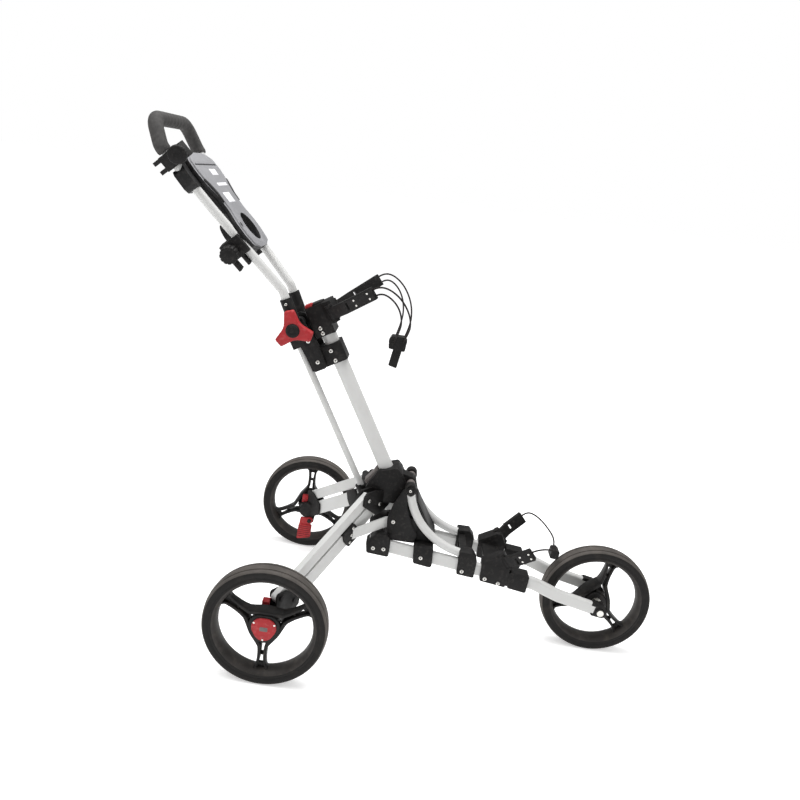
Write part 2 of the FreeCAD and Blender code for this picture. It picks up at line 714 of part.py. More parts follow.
def console_base():
    """Dark lower shell, grooved round the handle tubes, with the cup ring below."""
    shell = console_slab(12, 34, 0)
    pocket = console_slab(16, 40, 9).cut(box(0, 50, -200, 200, 100, CUP_Q + CUP_R + 12))
    ring_wall = Part.makeCylinder(CUP_R + 5, 44, V(-10, 0, CUP_Q), V(1, 0, 0))
    band = front_plate([(86, 366), (118, 366), (127, 376), (127, 410), (118, 420), (86, 420)],
                       6, 6, 34)
    hook = box(6, 30, -8, 8, 182, 196)
    solid = fuse_all([shell.cut(pocket), ring_wall, both(band), hook])
    cup = Part.makeCylinder(CUP_R, 80, V(-20, 0, CUP_Q), V(1, 0, 0))
    return handle_frame(solid.cut(cup)).cut(handle_solid()).cut(mount_room())


def console_cover():
    """Grey top shell with the cup opening, a card slot and a small dial recess."""
    slab = console_slab(34, 43, 3)
    dome = console_slab(43, 46, 12)
    cup = Part.makeCylinder(CUP_R, 80, V(-20, 0, CUP_Q), V(1, 0, 0))
    solid = fuse_all([slab, dome]).cut(cup)
    slot = box(42, 60, -80, 80, 411, 415)
    dial = Part.makeCylinder(7, 10, V(41, -62, 254), V(1, 0, 0))
    return handle_frame(solid.cut(slot).cut(dial)).cut(handle_solid()).cut(mount_room())


def tube_point(share):
    """Point on the right tube between its lower and upper bends."""
    a, b = HANDLE_PTS[2], HANDLE_PTS[3]
    p = a + (b - a) * share
    return V(p.x, -p.y, p.z)


CLAMP_AT = 0.80
MOUNT_AT = 0.60
CLAMP_KNOB_X = 28.0       # knob axes stand off the tube, across it
MOUNT_KNOB_X = -26.0


def tube_frame(shape, origin, axis):
    """Local Z along the tube, local Y outboard."""
    rotation = FreeCAD.Rotation(V(0, 0, 1), axis)
    return shape.transformed(FreeCAD.Placement(origin, rotation).toMatrix())


def umbrella_clamp():
    """Clamp block on the right tube with two open hooks."""
    a, b = HANDLE_PTS[2], HANDLE_PTS[3]
    at = tube_point(CLAMP_AT)
    axis = V(b.x - a.x, -(b.y - a.y), b.z - a.z).normalize()
    block = box(-17, CLAMP_KNOB_X + 12, -18, 15, -17, 17)
    hooks = [box(-34, -15, -14, 12, z, z + 9) for z in (-15, 7)]
    lips = [box(-34, -29, -14, 16, z, z + 9) for z in (-15, 7)]
    neck = Part.makeCylinder(9, 8, V(CLAMP_KNOB_X, -18, 0), V(0, -1, 0))
    solid = tube_frame(fuse_all([block, neck] + hooks + lips), at, axis)
    bore = Part.makeCylinder(3.0 + RUN, 40, V(CLAMP_KNOB_X, -14, 0), V(0, -1, 0))
    bore = tube_frame(bore, at, axis)
    return solid.cut(bore).cut(handle_solid())


def clamp_knob():
    a, b = HANDLE_PTS[2], HANDLE_PTS[3]
    at = tube_point(CLAMP_AT)
    axis = V(b.x - a.x, -(b.y - a.y), b.z - a.z).normalize()
    stud = Part.makeCylinder(3.0, 12, V(CLAMP_KNOB_X, -14.5, 0), V(0, -1, 0))
    head = Part.makeCylinder(20, 15, V(CLAMP_KNOB_X, -26.3, 0), V(0, -1, 0))
    return tube_frame(stud.fuse(head), at, axis)


def mount_axis():
    a, b = HANDLE_PTS[1], HANDLE_PTS[2]
    p = a + (b - a) * MOUNT_AT
    axis = V(b.x - a.x, -(b.y - a.y), b.z - a.z).normalize()
    return V(p.x, -p.y, p.z), axis


# x, y and z limits of the accessory block in the tube frame
MOUNT_BLOCK = (-42.0, 8.5, -17.0, 15.0, -22.0, 22.0)


def mount_room():
    """Notch in the console round the accessory block and its prongs."""
    at, axis = mount_axis()
    x0, x1, y0, y1, z0, z1 = MOUNT_BLOCK
    gap = 0.4
    block_room = box(x0 - gap, x1 + gap, y0 - gap, y1 + gap, z0 - gap, z1 + gap)
    prong_room = box(x0 - gap, x0 + 33, y0 - gap, 10, -47, z0)
    return tube_frame(block_room.fuse(prong_room), at, axis)


def accessory_mount():
    """Block on the right tube with a two-pronged fork for a holder."""
    at, axis = mount_axis()
    block = box(*MOUNT_BLOCK)
    back = MOUNT_BLOCK[0]
    prongs = [box(x, x + 6, -17, 9, -46, -20) for x in (back, back + 26)]
    neck = Part.makeCylinder(8, 9, V(MOUNT_KNOB_X, -17, 0), V(0, -1, 0))
    solid = tube_frame(fuse_all([block, neck] + prongs), at, axis)
    bore = Part.makeCylinder(3.0 + RUN, 40, V(MOUNT_KNOB_X, -13, 0), V(0, -1, 0))
    bore = tube_frame(bore, at, axis)
    return solid.cut(bore).cut(handle_solid())


def accessory_knob():
    at, axis = mount_axis()
    stud = Part.makeCylinder(3.0, 13, V(MOUNT_KNOB_X, -13.5, 0), V(0, -1, 0))
    head = Part.makeCylinder(20, 24, V(MOUNT_KNOB_X, -26.4, 0), V(0, -1, 0))
    for k in range(12):
        a = 2 * math.pi * k / 12
        spot = V(MOUNT_KNOB_X + 20.6 * math.cos(a), -26, 20.6 * math.sin(a))
        flute = Part.makeCylinder(2.4, 26, spot, V(0, -1, 0))
        head = head.cut(flute)
    return tube_frame(stud.fuse(head), at, axis)


# ---------------------------------------------------------------- elastic cords
# right half of each route, from the arm tip to the fitting; the left half mirrors it
OUTER_ROUTE = [V(124.3, -104, 844.5), V(137.2, -111.6, 854.5), V(162.9, -110, 851.5),
               V(191.6, -98, 830), V(212.1, -78, 796.1), V(218.1, -52, 762), V(212, -28, 735),
               V(205, -12, 718), V(204, -5, 704)]
INNER_ROUTE = [V(133.4, -104, 832.6), V(144.3, -110.4, 841), V(167.1, -108, 832.8),
               V(187.2, -92, 809.6), V(196.7, -70, 777.6), V(194.2, -46, 749.8),
               V(188, -26, 728), V(184.5, -12, 714), V(184, -5, 702)]
LOWER_ROUTE = [V(572.2, -95, 280.8), V(583.2, -99.6, 290), V(602, -92, 291), V(622, -74, 283),
               V(640, -52, 270), V(648, -30, 262), V(647, -13, 250), V(646, -5, 238)]


def cord_route(half):
    return half + [V(p.x, -p.y, p.z) for p in reversed(half)]


def cord_radii(points):
    """Each arc takes 0.45 of its shorter run."""
    radii = []
    for a, b, c in zip(points, points[1:], points[2:]):
        run = min((b - a).Length, (c - b).Length)
        turn = (b - a).getAngle(c - b)
        radii.append(0.45 * run / math.tan(turn / 2))
    return radii


def cord_path(half):
    points = cord_route(half)
    return open_path(points, cord_radii(points))


def cord(name, half):
    path = cord_path(half)
    radii = cord_radii(cord_route(half))
    solid = swept_round(path, CORD_R)
    print(name, "length", round(path.Length, 1), "volume", round(solid.Volume),
          "section x length", round(math.pi * CORD_R ** 2 * path.Length),
          "radii", [round(r) for r in radii])
    return solid


def upper_cord_outer():
    return cord("upper_cord_outer", OUTER_ROUTE)


def upper_cord_inner():
    return cord("upper_cord_inner", INNER_ROUTE)


def lower_cord():
    return cord("lower_cord", LOWER_ROUTE)


def cord_hook():
    """Fitting on the upper cords with its pull tab hanging below."""
    body = side_plate([(174, 698), (212, 694), (215, 720), (206, 728), (178, 728), (172, 716)],
                      4, -13, 13)
    waist = box(170, 218, -13, 13, 708, 712).cut(box(176, 211, -20, 20, 700, 720))
    tab = side_plate([(186, 704), (206, 698), (198, 650), (178, 655)], 3, -3, 3)
    solid = fuse_all([body.cut(waist), tab])
    for half in (OUTER_ROUTE, INNER_ROUTE):
        solid = solid.cut(swept_round(cord_path(half), CORD_R))
    return solid


def lower_toggle():
    body = side_plate([(635, 230), (656, 228), (658, 248), (650, 254), (638, 252)], 4, -13, 13)
    return body.cut(swept_round(cord_path(LOWER_ROUTE), CORD_R))


def moved_x(shape):
    return shape.translated(V(ORIGIN_X, 0, 0))


NODES = {
    "lower_casting": lower_casting,
    "hinge_pin": hinge_pin,
    "curved_bar_right": curved_bar,
    "frame_tube_right": lower_tube,
    "mid_brace": mid_brace,
    "rear_end_block": rear_end_block,
    "lower_bag_bracket": lower_bag_bracket,
    "fork_lug_right": fork_lug,
    "front_axle": front_axle,
    "front_bearings": front_bearings,
    "front_rim": front_rim,
    "front_tyre": lambda: tyre(V(FRONT_X, 0, AXLE_Z)),
    "upper_hub": upper_hub,
    "mast_tube": mast_tube,
    "mast_screws": mast_screws,
    "link_rod": link_rod,
    "handle_bracket": handle_bracket,
    "upper_bag_bracket": upper_bag_bracket,
    "latch_lever": latch_lever,
    "upper_arm_right": lambda: bag_arm(upper_arm_frame, UPPER_ARM),
    "lower_arm_right": lambda: bag_arm(lower_arm_frame, LOWER_ARM),
    "leg_upper_bar_right": upper_leg_bar,
    "leg_lower_bar_right": lower_leg_bar,
    "leg_stay_right": leg_stay,
    "axle_housing_right": axle_housing,
    "rear_axle_right": rear_axle,
    "release_button_right": release_button,
    "rear_tyre_right": lambda: tyre(V(0, -REAR_Y, AXLE_Z)),
    "rear_rim_right": rear_rim,
    "hub_cap_right": hub_cap,
    "brake_pedal": brake_pedal,
    "handle_loop": handle_loop,
    "grip_foam": grip_foam,
    "handle_yoke": handle_yoke,
    "angle_knob": angle_knob,
    "console_base": console_base,
    "console_cover": console_cover,
    "umbrella_clamp": umbrella_clamp,
    "clamp_knob": clamp_knob,
    "accessory_mount": accessory_mount,
    "accessory_knob": accessory_knob,
    "upper_cord_outer": upper_cord_outer,
    "upper_cord_inner": upper_cord_inner,
    "cord_hook": cord_hook,
    "lower_cord": lower_cord,
    "lower_toggle": lower_toggle,
}


def export(name, shape):
    shape = moved_x(shape)
    b = shape.BoundBox
    print(name, len(shape.Solids), "valid" if shape.isValid() else "INVALID",
          round(shape.Volume), [round(v, 1) for v in (b.XMin, b.XMax, b.YMin, b.YMax, b.ZMin,
                                                      b.ZMax)])
    shape.exportStep("parts/" + name + ".step")


os.makedirs("parts", exist_ok=True)
for node, make in NODES.items():
    solid = make()
    export(node, solid)
    if node.endswith("_right"):
        other = mirrored(solid)
        if node == "axle_housing_right":
            other = other.fuse(brake_mount()).removeSplitter()
        export(node[:-6] + "_left", other)
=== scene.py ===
import json
import math

import bmesh
import bpy
from mathutils import Matrix, Vector

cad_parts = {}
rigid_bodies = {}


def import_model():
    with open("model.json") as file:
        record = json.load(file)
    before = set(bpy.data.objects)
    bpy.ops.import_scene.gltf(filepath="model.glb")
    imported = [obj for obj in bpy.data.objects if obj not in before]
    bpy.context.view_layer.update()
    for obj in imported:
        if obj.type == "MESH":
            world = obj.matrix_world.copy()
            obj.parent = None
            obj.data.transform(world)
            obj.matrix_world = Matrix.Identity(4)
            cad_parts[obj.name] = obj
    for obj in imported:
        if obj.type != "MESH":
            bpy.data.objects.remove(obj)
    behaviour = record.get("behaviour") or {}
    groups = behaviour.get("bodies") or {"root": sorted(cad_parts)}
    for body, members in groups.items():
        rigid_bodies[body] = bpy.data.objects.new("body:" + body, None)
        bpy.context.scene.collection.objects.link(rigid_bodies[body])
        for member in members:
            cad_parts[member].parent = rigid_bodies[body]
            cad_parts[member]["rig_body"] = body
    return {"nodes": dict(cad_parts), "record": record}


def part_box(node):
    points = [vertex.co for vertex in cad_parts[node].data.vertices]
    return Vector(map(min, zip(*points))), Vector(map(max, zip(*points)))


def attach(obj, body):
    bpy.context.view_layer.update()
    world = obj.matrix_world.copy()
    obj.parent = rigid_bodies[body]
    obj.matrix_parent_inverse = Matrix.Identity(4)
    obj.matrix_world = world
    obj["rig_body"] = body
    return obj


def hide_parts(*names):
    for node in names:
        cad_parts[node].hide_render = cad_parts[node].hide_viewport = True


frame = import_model()
NODES = frame["nodes"]
SLOTS = {row["node"]: row["material_slot"] for row in frame["record"]["subparts"]}
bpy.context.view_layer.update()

# ------------------------------------------------------------------ places, in millimetres
MM = 0.001


def centre(node):
    low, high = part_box(node)
    return (low + high) / 2


REAR_AXLE = centre("rear_tyre_right")
FRONT_AXLE = centre("front_tyre")
WHEEL_R = (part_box("front_tyre")[1].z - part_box("front_tyre")[0].z) / 2 / MM
SHIFT = REAR_AXLE.x                # the trolley's own frame has the rear axle at x 0
MAST_TILT = math.radians(-29.67)
HANDLE_TILT = math.radians(-42.92)
LEG_ANGLE = math.radians(-128.3)
LEG_SLOPE = math.radians(33.0)
ARM_RISE = math.radians(8.0)
FLIP = Matrix.Scale(-1, 4, (0, 1, 0))


def at(x, y, z):
    """Point given in the trolley's own frame, in mm, as metres in the row frame."""
    return Vector((x * MM + SHIFT, y * MM, z * MM))


def place(origin, *turns):
    """Matrix from a local frame in mm to the row frame."""
    matrix = Matrix.Translation(at(*origin))
    for angle, axis in turns:
        matrix = matrix @ Matrix.Rotation(angle, 4, axis)
    return matrix @ Matrix.Scale(MM, 4)


OWN = place((0, 0, 0))
MAST = place((184, 0, 441), (MAST_TILT, "Y"))
KNOB_MM = (-42.73, 0.0, 723.86)
HANDLE = place(KNOB_MM, (HANDLE_TILT, "Y"))
HANDLE_MM = Matrix.Translation(KNOB_MM) @ Matrix.Rotation(HANDLE_TILT, 4, "Y")
LEG = place((169, -62, 338), (LEG_ANGLE, "Z"))
LEG_MM = Matrix.Translation((169, -62, 338)) @ Matrix.Rotation(LEG_ANGLE, 4, "Z")
TOWARDS_RIGHT = (math.pi / 2, "X")         # local Z then points to -Y
TOWARDS_LEFT = (-math.pi / 2, "X")         # local Z then points to +Y


# ------------------------------------------------------------------ camera, light and floor
WORLD_LOW, WORLD_HIGH = 0.12, 0.80
FLOOR_GLOW = 0.44
WHITE = (1, 1, 1, 1)

CAMERA_AT = (-0.04722, -1.68627, 1.10531)
CAMERA_TURN = (-0.020346, 0.222498, 0.135712)      # yaw, pitch down and roll, in radians
CAMERA_SENSOR, CAMERA_LENS = 36.0, 33.26445        # mm
CAMERA_SHIFT = (0.012934, -0.079466)


def make_camera():
    """Camera at the viewing place, with its lens and off-centre axis."""
    yaw, pitch, roll = CAMERA_TURN
    forward = Vector((math.sin(yaw) * math.cos(pitch), math.cos(yaw) * math.cos(pitch),
                      -math.sin(pitch)))
    level = Vector((math.cos(yaw), -math.sin(yaw), 0))
    upright = level.cross(forward)
    right = level * math.cos(roll) + upright * math.sin(roll)
    up = upright * math.cos(roll) - level * math.sin(roll)
    data = bpy.data.cameras.new("camera")
    data.sensor_width = CAMERA_SENSOR
    data.lens = CAMERA_LENS
    data.shift_x, data.shift_y = CAMERA_SHIFT
    data.clip_end = 50
    camera = bpy.data.objects.new("camera", data)
    matrix = Matrix((right, up, -forward)).transposed().to_4x4()
    matrix.translation = CAMERA_AT
    camera.matrix_world = matrix
    bpy.context.scene.collection.objects.link(camera)
    bpy.context.scene.camera = camera


def area_light(name, where, aim, size, power):
    """Square soft lamp at a place, turned to its aim."""
    data = bpy.data.lights.new(name, "AREA")
    data.size = size
    data.energy = power
    lamp = bpy.data.objects.new(name, data)
    lamp.location = where
    lamp.rotation_mode = "QUATERNION"
    lamp.rotation_quaternion = (Vector(aim) - Vector(where)).to_track_quat("-Z", "Y")
    bpy.context.scene.collection.objects.link(lamp)


def make_world():
    """Room that is dim below and brighter above; the camera sees it as plain white."""
    world = bpy.data.worlds.new("studio")
    world.use_nodes = True
    nodes, links = world.node_tree.nodes, world.node_tree.links
    back = nodes["Background"]
    back.inputs["Color"].default_value = WHITE
    coords = nodes.new("ShaderNodeTexCoord")
    split = nodes.new("ShaderNodeSeparateXYZ")
    links.new(coords.outputs["Generated"], split.inputs["Vector"])
    height = nodes.new("ShaderNodeMapRange")
    height.inputs["From Min"].default_value = -0.1
    height.inputs["From Max"].default_value = 0.9
    height.inputs["To Min"].default_value = WORLD_LOW
    height.inputs["To Max"].default_value = WORLD_HIGH
    links.new(split.outputs["Z"], height.inputs["Value"])
    seen = nodes.new("ShaderNodeLightPath")
    choice = nodes.new("ShaderNodeMix")
    links.new(seen.outputs["Is Camera Ray"], choice.inputs["Factor"])
    links.new(height.outputs["Result"], choice.inputs["A"])
    choice.inputs["B"].default_value = 1.0
    links.new(choice.outputs["Result"], back.inputs["Strength"])
    bpy.context.scene.world = world


def make_stage():
    """World, three soft lamps and a pale floor that hides its own horizon."""
    scene = bpy.context.scene
    scene.view_settings.view_transform = "Standard"
    make_world()
    area_light("key", (-1.4, -1.0, 2.8), (0, 0, 0.5), 1.4, 26)
    area_light("fill", (2.2, -1.4, 1.8), (0, 0, 0.4), 2.0, 5)
    area_light("top", (0.0, 0.3, 3.0), (0, 0, 0.3), 1.8, 60)
    bm = bmesh.new()
    bmesh.ops.create_grid(bm, x_segments=2, y_segments=2, size=30)
    mesh = bpy.data.meshes.new("floor")
    bm.to_mesh(mesh)
    bm.free()
    floor = bpy.data.objects.new("floor", mesh)
    pale = surface("floor_pale", (0.93, 0.93, 0.93), 0.8, specular=0.1)
    shader = pale.node_tree.nodes["Principled BSDF"]
    shader.inputs["Emission Color"].default_value = WHITE
    shader.inputs["Emission Strength"].default_value = FLOOR_GLOW
    mesh.materials.append(pale)
    scene.collection.objects.link(floor)


# ------------------------------------------------------------------ materials
def noise_node(tree, scale, detail, stretch):
    """Noise in the piece's own coordinates, longer along an axis with a small stretch."""
    nodes, links = tree.nodes, tree.links
    coords = nodes.new("ShaderNodeTexCoord")
    mapping = nodes.new("ShaderNodeMapping")
    mapping.inputs["Scale"].default_value = stretch
    links.new(coords.outputs["Object"], mapping.inputs["Vector"])
    texture = nodes.new("ShaderNodeTexNoise")
    texture.inputs["Scale"].default_value = scale
    texture.inputs["Detail"].default_value = detail
    links.new(mapping.outputs["Vector"], texture.inputs["Vector"])
    return texture


def mottled(tree, colour, mottle, stretch):
    """Colour that wanders by a share about the given one; mottle is (scale, amount)."""
    scale, amount = mottle
    texture = noise_node(tree, scale, 5.0, stretch)
    ramp = tree.nodes.new("ShaderNodeValToRGB")
    dark, light = ramp.color_ramp.elements
    dark.position, light.position = 0.3, 0.7
    dark.color = (*[c * (1 - amount) for c in colour], 1)
    light.color = (*[min(1, c * (1 + amount)) for c in colour], 1)
    tree.links.new(texture.outputs["Fac"], ramp.inputs["Fac"])
    return ramp.outputs["Color"]


def scuffed(tree, colour, shade, roughness, scuff, stretch):
    """Worn patches, paler and rougher than the rest; scuff is (scale, amount, colour)."""
    scale, amount, worn = scuff
    nodes, links = tree.nodes, tree.links
    texture = noise_node(tree, scale, 8.0, stretch)
    mask = nodes.new("ShaderNodeMapRange")
    mask.inputs["From Min"].default_value = 0.52
    mask.inputs["From Max"].default_value = 0.72
    mask.inputs["To Max"].default_value = amount
    links.new(texture.outputs["Fac"], mask.inputs["Value"])
    mix = nodes.new("ShaderNodeMix")
    mix.data_type = "RGBA"
    mix.inputs["A"].default_value = (*colour, 1)
    mix.inputs["B"].default_value = (*worn, 1)
    links.new(mask.outputs["Result"], mix.inputs["Factor"])
    if shade:
        links.new(shade, mix.inputs["A"])
    rough = nodes.new("ShaderNodeMapRange")
    rough.inputs["To Min"].default_value = roughness
    rough.inputs["To Max"].default_value = min(1.0, roughness + 0.25)
    links.new(texture.outputs["Fac"], rough.inputs["Value"])
    links.new(rough.outputs["Result"], nodes["Principled BSDF"].inputs["Roughness"])
    return mix.outputs["Result"]


def bumped(tree, height, depth):
    """Fine relief of the given depth in metres."""
    bump = tree.nodes.new("ShaderNodeBump")
    bump.inputs["Strength"].default_value = 0.6
    bump.inputs["Distance"].default_value = depth
    tree.links.new(height, bump.inputs["Height"])
    tree.links.new(bump.outputs["Normal"], tree.nodes["Principled BSDF"].inputs["Normal"])


def cell_height(tree, scale):
    """Cellular pattern, for foam and braid."""
    texture = tree.nodes.new("ShaderNodeTexVoronoi")
    coords = tree.nodes.new("ShaderNodeTexCoord")
    texture.inputs["Scale"].default_value = scale
    tree.links.new(coords.outputs["Object"], texture.inputs["Vector"])
    return texture.outputs["Distance"]


def surface(name, colour, roughness, metallic=0.0, mottle=None, grain=None, scuff=None,
            stretch=(1, 1, 1), coat=0.0, cells=None, specular=0.5):
    """Procedural material: mottled colour, fine bump, scuffs that change the roughness.

    mottle is (scale, amount), grain is (scale, depth), scuff is (scale, amount, colour) and
    cells is (scale, depth) for a cellular bump in place of the grain."""
    material = bpy.data.materials.new(name)
    material.use_nodes = True
    tree = material.node_tree
    shader = tree.nodes["Principled BSDF"]
    shader.inputs["Base Color"].default_value = (*colour, 1)
    shader.inputs["Roughness"].default_value = roughness
    shader.inputs["Metallic"].default_value = metallic
    shader.inputs["Coat Weight"].default_value = coat
    shader.inputs["Coat Roughness"].default_value = 0.15
    shader.inputs["Specular IOR Level"].default_value = specular
    shade = mottled(tree, colour, mottle, stretch) if mottle else None
    if scuff:
        shade = scuffed(tree, colour, shade, roughness, scuff, stretch)
    if shade:
        tree.links.new(shade, shader.inputs["Base Color"])
    if cells:
        bumped(tree, cell_height(tree, cells[0]), cells[1])
    elif grain:
        bumped(tree, noise_node(tree, grain[0], 2.0, stretch).outputs["Fac"], grain[1])
    return material


def make_materials():
    """Every look by name; the record's material slots have the same names."""
    dust = (0.16, 0.145, 0.13)
    return {
        "white_paint": surface("white_paint", (0.56, 0.56, 0.55), 0.36, mottle=(9, 0.035),
                               grain=(900, 0.00004), scuff=(45, 0.22, (0.5, 0.48, 0.45)),
                               coat=0.25),
        "black_plastic": surface("black_plastic", (0.0065, 0.006, 0.006), 0.42, specular=0.2,
                                 mottle=(60, 0.25), grain=(1400, 0.00006),
                                 scuff=(130, 0.10, dust)),
        "rim_plastic": surface("rim_plastic", (0.0065, 0.006, 0.0058), 0.36, specular=0.22,
                               mottle=(40, 0.3), grain=(900, 0.00005),
                               scuff=(60, 0.16, (0.11, 0.09, 0.075))),
        "rim_barrel": surface("rim_barrel", (0.026, 0.023, 0.021), 0.45, specular=0.3,
                              mottle=(40, 0.3), grain=(900, 0.00005),
                              scuff=(60, 0.2, (0.13, 0.11, 0.09))),
        # darker red for the pedal's groove floors: painted shade in the recesses
        "red_groove_painted_shade": surface("red_groove_painted_shade", (0.13, 0.006, 0.008), 0.5, specular=0.3,
                            mottle=(70, 0.10)),
        "red_plastic": surface("red_plastic", (0.34, 0.016, 0.02), 0.42, specular=0.3,
                               mottle=(70, 0.10), grain=(1300, 0.00008),
                               scuff=(110, 0.2, (0.5, 0.2, 0.19))),
        "tyre_rubber": surface("tyre_rubber", (0.0085, 0.0078, 0.0074), 0.55,
                               mottle=(24, 0.22), grain=(700, 0.00010),
                               scuff=(34, 0.25, (0.05, 0.042, 0.036)), specular=0.22),
        # paler than the sidewall rubber: partly real wear and dust, partly painted light from
        # above on the crown
        "tyre_tread_worn_and_lit": surface("tyre_tread_worn_and_lit", (0.075, 0.067, 0.061), 0.6,
                              mottle=(24, 0.25), grain=(700, 0.00012),
                              scuff=(30, 0.30, (0.15, 0.13, 0.112)), specular=0.3),
        "grip_foam": surface("grip_foam", (0.050, 0.048, 0.047), 0.8, mottle=(120, 0.2),
                             cells=(900, 0.0003), specular=0.3),
        "console_grey": surface("console_grey", (0.235, 0.235, 0.245), 0.45,
                                mottle=(90, 0.05), grain=(1500, 0.00009),
                                scuff=(80, 0.12, (0.42, 0.42, 0.43))),
        "console_dark": surface("console_dark", (0.012, 0.012, 0.0125), 0.4, specular=0.25,
                                mottle=(90, 0.15), grain=(1500, 0.00008),
                                scuff=(120, 0.12, dust)),
        "warm_grey": surface("warm_grey", (0.12, 0.105, 0.10), 0.45, mottle=(90, 0.12),
                             grain=(1200, 0.00006), scuff=(100, 0.2, (0.25, 0.22, 0.2))),
        "steel": surface("steel", (0.62, 0.61, 0.58), 0.3, metallic=1.0, mottle=(200, 0.12),
                         grain=(2500, 0.00003), stretch=(1, 1, 6)),
        "elastic": surface("elastic", (0.014, 0.011, 0.011), 0.7, specular=0.2, mottle=(500, 0.4),
                           cells=(1100, 0.0004)),
        # near-black inside the steel screws' hexagon sockets: painted shade in the recess
        "socket_painted_shade": surface("socket_painted_shade", (0.02, 0.02, 0.02), 0.6, mottle=(300, 0.2)),
        "label_white": surface("label_white", (0.8, 0.8, 0.82), 0.3, mottle=(60, 0.04),
                               grain=(600, 0.00003)),
    }


# ------------------------------------------------------------------ mesh helpers
def finished(name, bm, matrix, body, materials, replaces=(), sharp=38):
    """Puts a mesh built in a local frame in place and hangs it on its body."""
    bmesh.ops.transform(bm, matrix=matrix, verts=bm.verts)
    bmesh.ops.recalc_face_normals(bm, faces=bm.faces)
    mesh = bpy.data.meshes.new(name)
    bm.to_mesh(mesh)
    bm.free()
    for material in materials:
        mesh.materials.append(material)
    mesh.polygons.foreach_set("use_smooth", [True] * len(mesh.polygons))
    mesh.set_sharp_from_angle(angle=math.radians(sharp))
    piece = bpy.data.objects.new(name, mesh)
    bpy.context.scene.collection.objects.link(piece)
    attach(piece, body)
    if replaces:
        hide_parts(*replaces)
    return piece


def merge(bm, part, matrix=None, material=0):
    """Adds another bmesh to this one; material None keeps the part's own numbers."""
    if matrix is not None:
        bmesh.ops.transform(part, matrix=matrix, verts=part.verts)
    if material is not None:
        for face in part.faces:
            face.material_index = material
    mesh = bpy.data.meshes.new("part")
    part.to_mesh(mesh)
    part.free()
    bm.from_mesh(mesh)
    bpy.data.meshes.remove(mesh)


def lathe(profile, segments=64, closed=False):
    """Turns (radius, height) points about local Z."""
    bm = bmesh.new()
    rings = []
    for radius, height in profile:
        if radius < 1e-6:
            rings.append([bm.verts.new((0, 0, height))])
            continue
        ring = []
        for k in range(segments):
            a = 2 * math.pi * k / segments
            ring.append(bm.verts.new((radius * math.cos(a), radius * math.sin(a), height)))
        rings.append(ring)
    pairs = list(zip(rings, rings[1:]))
    if closed:
        pairs.append((rings[-1], rings[0]))
    for low, high in pairs:
        for k in range(segments):
            n = (k + 1) % segments
            corners = [low[k % len(low)], low[n % len(low)], high[n % len(high)],
                       high[k % len(high)]]
            unique = list(dict.fromkeys(corners))
            if len(unique) > 2:
                bm.faces.new(unique)
    return bm


def rounded(points, steps=5):
    """Closed outline from (x, y, corner radius) points."""
    made = []
    n = len(points)
    for i, (x, y, r) in enumerate(points):
        here = Vector((x, y))
        before = Vector(points[i - 1][:2]) - here
        after = Vector(points[(i + 1) % n][:2]) - here
        half = before.angle(after) / 2
        reach = min(r / math.tan(half), 0.48 * min(before.length, after.length))
        radius = reach * math.tan(half)
        start = here + before.normalized() * reach
        end = here + after.normalized() * reach
        middle = here + (before.normalized() + after.normalized()).normalized() * (
            radius / math.sin(half))
        a, b = start - middle, end - middle
        for k in range(steps + 1):
            share = k / steps
            made.append(middle + a.slerp(b, share) * radius if a.length > 1e-6 else here)
    return made


def prism(outline, low, high, bevel=0.0, segments=2):
    """Closed outline in local XY, raised along local Z, with its edges rounded."""
    bm = bmesh.new()
    base = [bm.verts.new((p[0], p[1], low)) for p in outline]
    face = bm.faces.new(base)
    raised = bmesh.ops.extrude_face_region(bm, geom=[face])
    moved = [v for v in raised["geom"] if isinstance(v, bmesh.types.BMVert)]
    bmesh.ops.translate(bm, verts=moved, vec=(0, 0, high - low))
    bmesh.ops.recalc_face_normals(bm, faces=bm.faces)
    if bevel:
        edges = [e for e in bm.edges if abs(e.verts[0].co.z - e.verts[1].co.z) < 1e-6]
        bmesh.ops.bevel(bm, geom=edges, offset=bevel, segments=segments, profile=0.5,
                        affect="EDGES", clamp_overlap=True)
    return bm


def block(x0, x1, y0, y1, z0, z1, bevel=0.8):
    """Box between six limits with every edge rounded."""
    outline = rounded([(x0, y0, bevel), (x1, y0, bevel), (x1, y1, bevel), (x0, y1, bevel)], 3)
    return prism(outline, z0, z1, bevel * 0.8)


def sweep(path, radius, segments=24):
    """Closed round bar along points; radius is a function of the share of the way."""
    bm = bmesh.new()
    points = [Vector(p) for p in path]
    count = len(points)
    side = None
    rings = []
    for i, p in enumerate(points):
        along = (points[min(i + 1, count - 1)] - points[max(i - 1, 0)]).normalized()
        if side is None:
            side = along.orthogonal().normalized()
        side = (side - along * side.dot(along)).normalized()
        across = along.cross(side)
        r = radius(i / (count - 1))
        rings.append([bm.verts.new(p + side * (r * math.cos(a)) + across * (r * math.sin(a)))
                      for a in (2 * math.pi * k / segments for k in range(segments))])
    for low, high in zip(rings, rings[1:]):
        for k in range(segments):
            n = (k + 1) % segments
            bm.faces.new((low[k], low[n], high[n], high[k]))
    bm.faces.new(rings[0])
    bm.faces.new(rings[-1])
    return bm


def softened(node, material, width):
    """Copy of a CAD node with its edges rounded, which stands for the node."""
    source = NODES[node]
    bm = bmesh.new()
    bm.from_mesh(source.data)
    bmesh.ops.remove_doubles(bm, verts=bm.verts, dist=1e-5)
    bmesh.ops.dissolve_limit(bm, angle_limit=math.radians(2), verts=bm.verts, edges=bm.edges)
    edges = [e for e in bm.edges if len(e.link_faces) == 2
             and e.calc_face_angle(0) > math.radians(32)]
    bmesh.ops.bevel(bm, geom=edges, offset=width * MM, segments=2, profile=0.5,
                    affect="EDGES", clamp_overlap=True)
    body = source["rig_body"]
    return finished(node + "_soft", bm, Matrix.Identity(4), body, [material],
                    replaces=[node], sharp=30)


